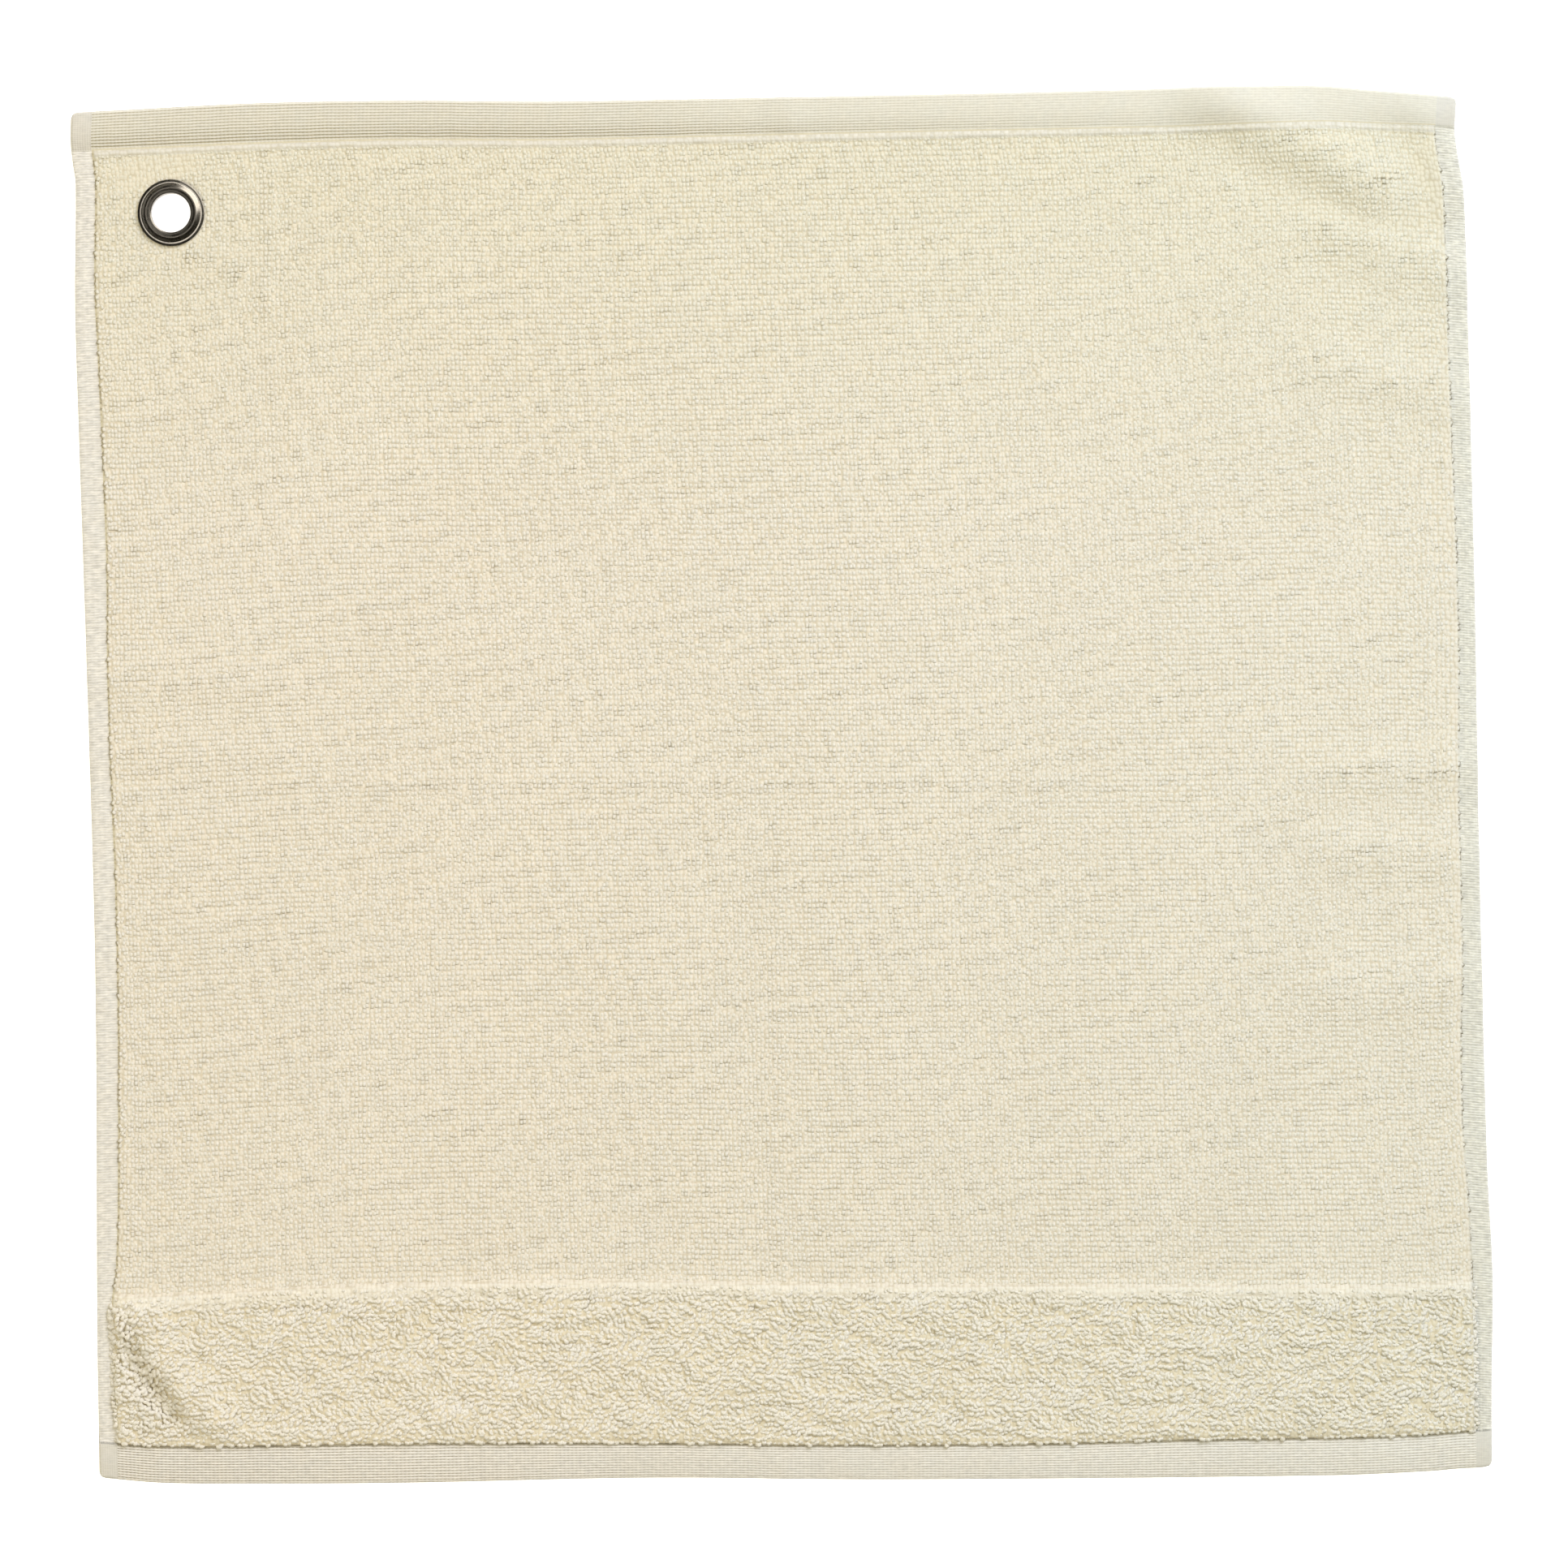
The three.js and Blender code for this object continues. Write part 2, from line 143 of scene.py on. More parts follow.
def soft_noise(x: np.ndarray, y: np.ndarray, long: float, seed: int) -> np.ndarray:
    """Smooth wandering values over a plane.

    Args:
        x: places along X.
        y: places along Y.
        long: the typical wavelength, in the unit of x and y.
        seed: which pattern.

    Returns:
        Values of about -1 to 1.
    """
    rng = np.random.default_rng(seed)
    turns = rng.uniform(0, 2 * math.pi, WAVES)
    waves = 2 * math.pi / (long * rng.uniform(*WAVE_SPREAD, WAVES))
    phases = rng.uniform(0, 2 * math.pi, WAVES)
    total = np.zeros(np.broadcast(x, y).shape)
    for turn, wave, phase in zip(turns, waves, phases):
        total += np.sin(wave * (x * math.cos(turn) + y * math.sin(turn)) + phase)
    return total / math.sqrt(WAVES * 2)


@dataclass(frozen=True)
class Drift:
    """A smooth wandering pattern: how strong it is, how long its waves are, which one it is, and
    how X and Y are stretched before it is read."""

    rise: float
    long: float
    seed: int
    stretch_x: float = 1.0
    stretch_y: float = 1.0

    def at(self, x: np.ndarray, y: np.ndarray) -> np.ndarray:
        """The pattern's value at each point."""
        return self.rise * soft_noise(self.stretch_x * x, self.stretch_y * y, self.long, self.seed)


@dataclass(frozen=True)
class Line:
    """A straight run over the cloth, with how high and how wide it is felt."""

    x1: float
    y1: float
    x2: float
    y2: float
    rise: float
    wide: float
    fade: float = 22.0

    def near(self, x: np.ndarray, y: np.ndarray) -> np.ndarray:
        """How strongly the run is felt at each point, from 0 to 1.

        Args:
            x: places along X.
            y: places along Y.

        Returns:
            The strength at each point.
        """
        run_x, run_y = self.x2 - self.x1, self.y2 - self.y1
        long = math.hypot(run_x, run_y)
        from_x, from_y = x - self.x1, y - self.y1
        along = (from_x * run_x + from_y * run_y) / long
        beyond = np.maximum(np.maximum(0.0, -along), along - long) / self.fade
        aside = (from_x * run_y - from_y * run_x) / long / self.wide
        return np.exp(-2 * (aside**2 + beyond**2))


@dataclass(frozen=True)
class Lay:
    """How the towel lies: its outline, its folds and where each place on the cloth is."""

    width: float = 500.0
    side_long: float = 495.0
    corner_round: float = 2.6
    bottom_left: tuple[float, float] = (-245.0, -248.7)
    bottom_right: tuple[float, float] = (254.9, -244.7)
    top_left: tuple[float, float] = (-255.2, 241.3)
    top_right: tuple[float, float] = (242.1, 246.8)
    top_bow: Rows = ((0, 0), (15, 0.6), (68, 2.7), (120, 3.0), (173, 2.1), (225, 2.4), (330, 3.3),
                     (435, 4.7), (452, 4.5), (470, 2.8), (500, 0))
    bottom_bow: Rows = ((0, 0), (22, 2.0), (57, 2.6), (110, 2.7), (197, 1.6), (285, 2.9), (442, 2.7),
                        (477, 1.5), (488, 0.5), (500, 0))
    left_bow: Rows = ((0, 0), (52, -0.2), (175, -2.1), (256, -1.8), (379, -0.3), (425, 0.1),
                      (469, -1.0), (477, -0.1), (484, 0.4), (495, 0))
    right_bow: Rows = ((0, 0), (28, 0.7), (69, 2.1), (110, 1.2), (232, 1.3), (314, 2.1), (436, 2.1),
                       (462, 1.6), (473, 0.1), (482, -0.9), (495, 0))
    folds: tuple[Line, ...] = (
        Line(-230, -193, -222, -207, 2.8, 10, 8),
        Line(-222, -207, -214, -220, 3.2, 9, 5),
        Line(-214, -220, -203, -228, 2.7, 10, 8),
        Line(158, 246, 210, 216, 4.2, 17),
        Line(232, 236, 243, 212, 1.7, 13),
        Line(201, 197, 240, 184, 2.0, 14),
        Line(198, 150, 240, 139, 1.3, 13),
        Line(204, 4.5, 245, 6, 1.35, 12),
        Line(-245, 11, -180, 9, 0.7, 11),
        Line(204, -25, 245, -27, 1.3, 13),
        Line(200, -75, 250, -72, 1.2, 16),
        Line(-244, 38, -188, 34, 0.9, 13),
        Line(1.3, 248, 1.3, 236, 0.9, 9, 4),
        Line(0.4, -231, 0.4, -249, 0.9, 11),
    )
    touch_down: float = 0.12
    blend: int = 4

    def length(self, across: np.ndarray) -> np.ndarray:
        """The towel's length from the top edge to the bottom one, at each distance across."""
        u = across / self.width
        top = self.top_left[1] * (1 - u) + self.top_right[1] * u + curve_through(self.top_bow, across)
        bottom = self.bottom_left[1] * (1 - u) + self.bottom_right[1] * u
        return top - bottom + curve_through(self.bottom_bow, across)

    def round_corner(self, across: np.ndarray, down: np.ndarray) -> tuple[np.ndarray, np.ndarray]:
        """Pulls places beyond the rounding of the four corners back onto it.

        Args:
            across: distances from the left edge.
            down: distances from the top edge.

        Returns:
            The two distances, moved.
        """
        long = self.length(across)
        side = np.minimum(across, self.width - across)
        end = np.minimum(down, long - down)
        r = self.corner_round
        away = np.hypot(r - side, r - end)
        pull = np.where((side < r) & (end < r), np.minimum(1.0, r / np.maximum(away, TINY)), 1.0)
        side = r - (r - side) * pull
        end = r - (r - end) * pull
        moved_across = np.where(across < self.width / 2, side, self.width - side)
        return moved_across, np.where(down < long / 2, end, long - end)

    def place(self, across: np.ndarray, down: np.ndarray) -> tuple[np.ndarray, np.ndarray]:
        """Where places on the cloth are over the floor.

        Args:
            across: distances from the left edge.
            down: distances from the top edge.

        Returns:
            Their X and Y.
        """
        across, down = self.round_corner(across, down)
        u, v = across / self.width, 1 - down / self.length(across)
        corners = np.array((self.bottom_left, self.bottom_right, self.top_left, self.top_right))
        shares = ((1 - u) * (1 - v), u * (1 - v), (1 - u) * v, u * v)
        x = sum(share * corner[0] for share, corner in zip(shares, corners))
        y = sum(share * corner[1] for share, corner in zip(shares, corners))
        along = v * self.side_long
        x += u * curve_through(self.right_bow, along) - (1 - u) * curve_through(self.left_bow, along)
        y += v * curve_through(self.top_bow, across) - (1 - v) * curve_through(self.bottom_bow, across)
        return x, y

    def lift(self, x: np.ndarray, y: np.ndarray) -> np.ndarray:
        """How far the cloth stands off the floor at each point.

        Args:
            x: places along X.
            y: places along Y.

        Returns:
            The height of the cloth's underside.
        """
        total = sum((fold.rise * fold.near(x, y)) ** self.blend for fold in self.folds)
        return np.maximum(0.0, total ** (1 / self.blend) - self.touch_down)


@dataclass(frozen=True)
class Weave:
    """The cloth's zones and thicknesses."""

    lay: Lay
    selvedge_left: float = 7.0
    selvedge_right: float = 7.6
    selvedge_thick: float = 1.3
    hem_thick: float = 2.2
    hem_crown: float = 0.8
    low_crown: float = 0.4
    selvedge_crown: float = 0.32
    ground_thick: float = 1.95
    roll_thick: float = 2.45
    roll_wide: float = 2.2
    band_ground: float = 3.6
    band_taper: float = 0.6
    ridge_thick: float = 4.0
    ridge_from: float = 3.0
    ridge_to: Rows = ((0, 4.8), (30, 4.3), (80, 3.7), (500, 3.5))
    rib_pitch: float = 1.03
    rib_high: Rows = ((0, 0.09), (150, 0.09), (330, 0.04), (500, 0.03))
    top_hem: Rows = ((0, 14.3), (60, 15.0), (120, 14.6), (300, 13.8), (430, 14.0), (475, 12.0),
                     (500, 10.8))
    bottom_hem: Rows = ((0, 12.7), (110, 14.0), (200, 12.3), (340, 12.5), (395, 13.4), (500, 13.2))
    band_top: Rows = ((0, 65.9), (100, 71.1), (250, 69.8), (350, 69.2), (500, 66.8))
    top_hem_sag: Rows = ((0, 1.2), (130, 1.3), (230, 1.05), (300, 0.7), (400, 0.35), (500, 0.1))
    # Depth of the gaps between the hems' ribs, which also sets their painted shade.
    top_gaps: Rows = ((0, 0.85), (180, 0.75), (260, 0.5), (350, 0.3), (500, 0.2))
    seam_gaps: Rows = ((0, 0.75), (200, 0.7), (280, 0.4), (400, 0.2), (500, 0.1))
    bottom_gaps: Rows = ((0, 1.0), (150, 0.85), (300, 0.7), (500, 0.65))
    left_line: Rows = ((0, 8.2), (28, 7.5), (60, 7.4), (90, 8.2), (160, 8.8), (190, 8.0), (225, 7.7),
                       (280, 8.3), (380, 8.2), (415, 7.3), (428, 5.6), (445, 5.8), (470, 6.9), (495, 7.3))
    right_line: Rows = ((0, 7.6), (110, 7.3), (150, 6.6), (200, 6.3), (250, 7.1), (310, 7.0), (335, 8.2),
                        (370, 8.5), (390, 7.6), (430, 7.4), (450, 6.6), (495, 6.0))
    line_reach: float = 16.0
    creases: tuple[Line, ...] = (
        Line(-190, -0.5, 110, -0.2, 0.26, 5, 30),
        Line(-3, -22, -3, -158, 0.22, 7),
        Line(160, 226, 200, 208, -0.6, 10, 12),
        Line(-186, 214, -186, 176, 0.25, 5, 10),
        Line(-212, 190, -196, 184, 0.6, 7, 6),
        Line(-11, 247, -11, 233, -0.4, 7, 3),
    )
    valleys: tuple[Line, ...] = (
        Line(-234, -205, -217, -229, 2.3, 5.5, 5),
        Line(-240.5, -186, -240.5, -214, 1.5, 2.2, 5),
    )
    pressed: tuple[Line, ...] = (
        Line(-235, 218, -215, 224, 0.55, 9, 8),
        Line(232, 226, 240, 208, 0.8, 9, 8),
        Line(-228, 232, -240, 232, 0.5, 6, 5),
    )
    relief_drifts: tuple[Drift, ...] = (
        Drift(0.1, 60, 3), Drift(0.1, 9, 5, stretch_y=1.3), Drift(0.015, 4.5, 7),
    )
    clump_drifts: tuple[Drift, ...] = (Drift(0.2, 15, 23), Drift(0.11, 6, 29, stretch_y=1.3))
    partings: tuple[tuple[Drift, float, float], ...] = (
        (Drift(1.0, 13, 71, stretch_x=0.42), 0.09, 1.0),
        (Drift(1.0, 21, 73, stretch_y=0.7), 0.07, 0.7),
    )
    parting_deep: float = 0.7
    lowest_standing: float = 0.15
    eyelet_x: float = -219.2
    eyelet_y: float = 205.2
    pinch_flat: float = 12.6
    pinch_spread: float = 4.4
    pinch_over: float = 2.4
    pinch_under: float = 1.2
    dish_slope: float = 1.4
    pocket_slope: float = 2.6

    def hem_edge(self, across: np.ndarray) -> np.ndarray:
        """Distance down of the top hem's lower edge."""
        return curve_through(self.top_hem, across)

    def band_edge(self, across: np.ndarray) -> np.ndarray:
        """Distance down of the band's upper edge."""
        return self.lay.length(across) - curve_through(self.band_top, across)

    def low_edge(self, across: np.ndarray) -> np.ndarray:
        """Distance down of the band's lower edge, where the bottom hem starts."""
        return self.lay.length(across) - curve_through(self.bottom_hem, across)

    def sway(self, across: np.ndarray, down: np.ndarray) -> np.ndarray:
        """Lets the lines between the selvedges and the pile wander.

        Args:
            across: distances from the left edge, as the weave counts them.
            down: distances from the top edge.

        Returns:
            The distances from the left edge at which these places really are.
        """
        moved = np.array(np.broadcast_to(across, np.broadcast(across, down).shape), float)
        sides = ((across, self.selvedge_left, self.left_line, 1),
                 (self.lay.width - across, self.selvedge_right, self.right_line, -1))
        for inward, line, wander, sign in sides:
            near = np.minimum(inward / line, np.clip(1 - (inward - line) / self.line_reach, 0, 1))
            moved += sign * near * (curve_through(wander, down) - line)
        return moved

    def short_face(self, x: np.ndarray, y: np.ndarray) -> np.ndarray:
        """Height of the field's face over the floor, less the cloth's thickness."""
        return self.lay.lift(x, y) + self.relief(x, y)

    def deep_face(self, x: np.ndarray, y: np.ndarray) -> np.ndarray:
        """Height of the band's face over the floor, less the cloth's thickness."""
        return self.lay.lift(x, y) + self.clumps(x, y) - self.valley(x, y)

    def valley(self, x: np.ndarray, y: np.ndarray) -> np.ndarray:
        """How deep the deep pile dips where it is parted by the corner's fold and at its left edge."""
        return sum(line.rise * line.near(x, y) for line in self.valleys)

    def clumps(self, x: np.ndarray, y: np.ndarray) -> np.ndarray:
        """The rise and fall of the deep pile, whose loops lie in clumps."""
        return sum(drift.at(x, y) for drift in self.clump_drifts)

    def from_eyelet(self, x: np.ndarray, y: np.ndarray) -> np.ndarray:
        """Distance of each point from the eyelet's axis."""
        return np.hypot(x - self.eyelet_x, y - self.eyelet_y)

    def relief(self, x: np.ndarray, y: np.ndarray) -> np.ndarray:
        """The soft rise and fall of the cloth's face, with its faint creases."""
        rise = sum(drift.at(x, y) for drift in self.relief_drifts)
        return rise + sum(crease.rise * crease.near(x, y) for crease in self.creases)

    def standing(self, x: np.ndarray, y: np.ndarray) -> np.ndarray:
        """How much of its height the short pile keeps where it has been pressed, from 0 to 1."""
        pressed = sum(place.rise * place.near(x, y) for place in self.pressed)
        return np.clip(1 - pressed, self.lowest_standing, 1)

    def parted(self, x: np.ndarray, y: np.ndarray) -> np.ndarray:
        """Where the long loops part in thin wandering lines, from 0 to 1."""
        parts = (depth * np.exp(-((drift.at(x, y) / wide) ** 2)) for drift, wide, depth in self.partings)
        return np.maximum(*parts)

    def pinch_front(self, x: np.ndarray, y: np.ndarray, z: np.ndarray) -> np.ndarray:
        """Draws the face of the cloth in under the eyelet's flange."""
        r = self.from_eyelet(x, y)
        dish = self.pinch_over + np.maximum(0, r - self.pinch_flat) / self.pinch_spread * self.dish_slope
        return np.minimum(z, dish)

    def pinch_back(self, x: np.ndarray, y: np.ndarray, z: np.ndarray) -> np.ndarray:
        """Lifts the back of the cloth over the eyelet's washer."""
        r = self.from_eyelet(x, y)
        slope = np.maximum(0, r - self.pinch_flat) / self.pinch_spread * self.pocket_slope
        return np.maximum(z, self.pinch_under - slope)


class NodeTree:
    """A thin wrapper that adds and links nodes in a tree."""

    def __init__(self, tree: bpy.types.NodeTree) -> None:
        """Keeps the tree and empties it.

        Args:
            tree: a material's or a modifier's tree.
        """
        self.tree = tree
        tree.nodes.clear()

    def add(self, kind: str, links: dict | None = None, **values: object) -> bpy.types.Node:
        """Adds one node.

        Args:
            kind: the node's type.
            links: for each input, by name or number, a value or the socket that feeds it.
            **values: properties of the node itself.

        Returns:
            The new node.
        """
        node = self.tree.nodes.new(kind)
        for name, value in values.items():
            setattr(node, name, value)
        for name, value in (links or {}).items():
            socket = node.inputs[name]
            if isinstance(value, bpy.types.NodeSocket):
                self.tree.links.new(value, socket)
            else:
                socket.default_value = value
        return node

    def math(self, operation: str, *terms: object) -> bpy.types.NodeSocket:
        """The result of a Math node on two or three terms."""
        return self.add("ShaderNodeMath", dict(enumerate(terms)), operation=operation).outputs[0]

    def ramp(self, value: object, low: float, high: float, to_low: float, to_high: float) -> object:
        """A value mapped from one range to another and clamped, as a socket."""
        links = {"Value": value, "From Min": low, "From Max": high, "To Min": to_low, "To Max": to_high}
        return self.add("ShaderNodeMapRange", links).outputs["Result"]

    def mix(self, share: object, first: object, second: object, blend: str = "MIX") -> object:
        """Two colours mixed, as a socket. Each may be a socket or a colour."""
        node = self.add("ShaderNodeMix", data_type="RGBA", blend_type=blend)
        for index, value in ((0, share), (6, first), (7, second)):
            if isinstance(value, bpy.types.NodeSocket):
                self.tree.links.new(value, node.inputs[index])
            elif index == 0:
                node.inputs[index].default_value = value
            else:
                node.inputs[index].default_value = (*value, 1.0)
        return node.outputs[2]

    def multiply(self, first: object, second: object) -> object:
        """Two colours multiplied, as a socket. Each may be a socket or a colour."""
        return self.mix(1.0, first, second, "MULTIPLY")

    def toned(self, colour: object, tone: object) -> object:
        """A colour made lighter or darker by a value around 1, as a socket."""
        grey = self.add("ShaderNodeCombineColor", {0: tone, 1: tone, 2: tone}).outputs[0]
        return self.multiply(colour, grey)

    def attribute(self, name: str) -> object:
        """A named value of the mesh, as a socket."""
        return self.add("ShaderNodeAttribute", attribute_name=name).outputs["Fac"]

    def noise(self, vector: object, scale: float, detail: float = 2.0, rough: float = 0.5) -> object:
        """A noise texture's value, as a socket."""
        links = {"Vector": vector, "Scale": scale, "Detail": detail, "Roughness": rough}
        return self.add("ShaderNodeTexNoise", links).outputs["Fac"]


@dataclass(frozen=True)
class ClothFinish:
    """What every cotton surface has: matt, with a faint fuzz, a soft drift of tone and a painted light
    cast.
    """

    name: str
    light: Colour
    shade: Colour
    roughness: float = 0.92
    sheen: float = 0.08
    sheen_rough: float = 0.6
    specular: float = 0.1
    drift: float = 0.012
    drift_scale: float = 28.0
    tone_run: Span = (0.3, 0.7)
    tone_up: float = 0.4
    patch_scale: float = 150.0
    patch_run: Span = (0.35, 0.65)
    patches: tuple[Colour, Colour] = ((0.995, 1.0, 0.985), (1.005, 1.0, 0.97))
    painted_cast_left: Colour = (1.01, 1.02, 1.05)
    painted_cast_right: Colour = (0.955, 1.008, 1.06)
    painted_cast_from: float = -0.11
    painted_cast_to: float = 0.235
    top_side: Colour = WHITE
    top_from: float = 0.09
    top_to: float = 0.24

    def begin(self) -> tuple[bpy.types.Material, NodeTree]:
        """Makes the material with an empty tree."""
        material = bpy.data.materials.new(self.name)
        material.use_nodes = True
        return material, NodeTree(material.node_tree)

    def drifting(self, tree: NodeTree, colour: object) -> object:
        """Lets the colour wander a little, warmer and greyer, over a few centimetres."""
        place = tree.add("ShaderNodeTexCoord").outputs["Object"]
        wide = tree.noise(place, self.drift_scale)
        near = tree.noise(place, self.patch_scale, detail=1.0)
        warm = tree.mix(tree.ramp(near, *self.patch_run, 0.0, 1.0), *self.patches)
        tone = tree.ramp(wide, *self.tone_run, 1.0 - self.drift, 1.0 + self.drift * self.tone_up)
        side, up = tree.add("ShaderNodeSeparateXYZ", {0: place}).outputs[:2]
        # Painted light: a colour cast of the lamps that changes from the left side to the right one.
        across = tree.ramp(side, self.painted_cast_from, self.painted_cast_to, 0.0, 1.0)
        cast = tree.mix(across, self.painted_cast_left, self.painted_cast_right)
        high = tree.ramp(up, self.top_from, self.top_to, 0.0, 1.0)
        cast = tree.multiply(cast, tree.mix(high, WHITE, self.top_side))
        return tree.toned(tree.multiply(tree.multiply(colour, cast), warm), tone)

    def finish(self, tree: NodeTree, colour: object, height: object, distance: float) -> None:
        """Joins colour and relief to the shader.

        Args:
            tree: the material's tree.
            colour: the socket with its colour.
            height: the socket with its relief, from 0 to 1.
            distance: how high a relief of 1 is, in millimetres.
        """
        bump = tree.add("ShaderNodeBump", {"Height": height, "Distance": distance * MM, "Strength": 1.0})
        shader = tree.add("ShaderNodeBsdfPrincipled", {
            "Base Color": self.drifting(tree, colour),
            "Roughness": self.roughness,
            "Sheen Weight": self.sheen,
            "Sheen Roughness": self.sheen_rough,
            "Specular IOR Level": self.specular,
            "Normal": bump.outputs[0],
        })
        tree.add("ShaderNodeOutputMaterial", {"Surface": shader.outputs[0]})


@dataclass(frozen=True)
class TerryFinish(ClothFinish):
    """Short loops in the loom's grid, with painted shade in the gaps between them."""

    pitch_across: float = 1.48
    pitch_down: float = 1.87
    jitter: float = 0.45
    pull: tuple[float, float, float] = (1.1, 0.9, 0.0)
    pull_scale: float = 0.17
    crown_run: Span = (0.08, 0.62)
    lowest: float = 0.6
    shade_to: float = 0.6
    loop_share: float = 0.85
    fuzz_share: float = 0.25
    fuzz_scale: float = 2.6
    own_tone: Span = (0.955, 1.03)
    relief: float = 0.42

    def make(self) -> bpy.types.Material:
        """Builds the material.

        Returns:
            The finished material.
        """
        material, tree = self.begin()
        cloth = tree.add("ShaderNodeUVMap", uv_map=CLOTH_MAP).outputs[0]
        scale = (1 / (self.pitch_across * MM), 1 / (self.pitch_down * MM), 1.0)
        grid = tree.add("ShaderNodeMapping", {"Vector": cloth, "Scale": scale}).outputs[0]
        pulled = tree.add("ShaderNodeTexNoise", {"Vector": grid, "Scale": self.pull_scale, "Detail": 1.0})
        offset = tree.add("ShaderNodeVectorMath", {0: pulled.outputs["Color"], 1: MIDDLE_GREY},
                          operation="SUBTRACT").outputs[0]
        strayed = tree.add("ShaderNodeVectorMath", {0: offset, 1: self.pull, 2: grid},
                           operation="MULTIPLY_ADD").outputs[0]
        values = {"Vector": strayed, "Scale": 1.0, "Randomness": self.jitter}
        loops = tree.add("ShaderNodeTexVoronoi", values, voronoi_dimensions="2D")
        crown = tree.ramp(loops.outputs["Distance"], *self.crown_run, 1.0, 0.0)
        own = tree.add("ShaderNodeSeparateColor", {0: loops.outputs["Color"]})
        fuzz = tree.noise(grid, self.fuzz_scale)
        tall = tree.math("MULTIPLY", crown, tree.ramp(own.outputs[0], 0.0, 1.0, self.lowest, 1.0))
        height = tree.math("ADD", tree.math("MULTIPLY", tall, self.loop_share),
                           tree.math("MULTIPLY", fuzz, self.fuzz_share))
        # Painted shade: the gaps between the loops take the darker shade colour.
        colour = tree.mix(tree.ramp(crown, 0.0, self.shade_to, 0.0, 1.0), self.shade, self.light)
        own_tone = tree.ramp(own.outputs[1], 0.0, 1.0, *self.own_tone)
        self.finish(tree, tree.toned(colour, own_tone), height, self.relief)
        return material


@dataclass(frozen=True)
class RibFinish(ClothFinish):
    """Flat weave with fine ribs: across the towel in the hems, and closer ones in the selvedges."""

    rib_pitch: float = 1.03
    thread_pitch: float = 1.43
    thread_share: float = 0.25
    rib_crest: float = 0.1
    relief: float = 0.14
    wander: float = 0.45
    wander_scale: float = 90.0
    fibre_share: float = 0.35
    fibre_scale: float = 2600.0
    dark_run: Span = (0.05, 0.7)
    grain: float = 0.05
    grain_shape: tuple[float, float, float] = (0.36, 1.0, 1.0)
    grain_scale: float = 1100.0

    def speckled(self, tree: NodeTree, cloth: object, colour: object) -> object:
        """Lets single threads be a little lighter or darker, longer across than down."""
        stretched = tree.add("ShaderNodeMapping", {"Vector": cloth, "Scale": self.grain_shape}).outputs[0]
        speck = tree.noise(stretched, self.grain_scale)
        return tree.toned(colour, tree.ramp(speck, *self.tone_run, 1.0 - self.grain, 1.0 + self.grain))

    def make(self) -> bpy.types.Material:
        """Builds the material.

        Returns:
            The finished material.
        """
        material, tree = self.begin()
        cloth = tree.add("ShaderNodeUVMap", uv_map=CLOTH_MAP).outputs[0]
        wander = tree.noise(cloth, self.wander_scale)
        parts = tree.add("ShaderNodeSeparateXYZ", {0: cloth})
        down = tree.math("MULTIPLY_ADD", wander, self.wander * MM, parts.outputs[1])
        pitches = (self.rib_pitch, self.thread_pitch)
        rib_turns, thread_turns = (2 * math.pi / (pitch * MM) for pitch in pitches)
        rib = tree.math("COSINE", tree.math("MULTIPLY", down, rib_turns))
        thread = tree.math("SINE", tree.math("MULTIPLY", parts.outputs[0], thread_turns))
        ribs = tree.ramp(rib, -1.0, self.rib_crest, 0.0, 1.0 - self.thread_share)
        threads = tree.ramp(thread, -1.0, 1.0, 0.0, self.thread_share)
        fibre = tree.noise(cloth, self.fibre_scale, detail=1.0)
        woven = tree.math("ADD", ribs, threads)
        height = tree.math("MULTIPLY_ADD", fibre, self.fibre_share, woven)
        deep = tree.attribute(DEPTH_AND_SHADE)
        # Painted shade: the gaps between the ribs darken as deep as the mesh's gap value says.
        dark = tree.math("MULTIPLY", tree.ramp(woven, *self.dark_run, 1.0, 0.0), deep)
        colour = self.speckled(tree, cloth, tree.mix(dark, self.light, self.shade))
        self.finish(tree, colour, tree.math("MULTIPLY", height, deep), self.relief)
        return material


@dataclass(frozen=True)
class YarnFinish(ClothFinish):
    """Yarn of the short and the long loops, with painted shade darkening it towards the foot."""

    foot: Colour = (0.55, 0.455, 0.26)
    foot_shade_share: float = 0.42
    twist: float = 1700.0
    relief: float = 0.05

    def make(self) -> bpy.types.Material:
        """Builds the material.

        Returns:
            The finished material.
        """
        material, tree = self.begin()
        place = tree.add("ShaderNodeTexCoord").outputs["Object"]
        fibre = tree.noise(place, self.twist)
        colour = tree.mix(tree.attribute(TINT), self.shade, self.light)
        # Painted shade: the lower part of each loop takes the darker foot colour.
        crown = tree.ramp(tree.attribute(RISE), 0.0, self.foot_shade_share, 0.0, 1.0)
        self.finish(tree, tree.mix(crown, self.foot, colour), fibre, self.relief)
        return material


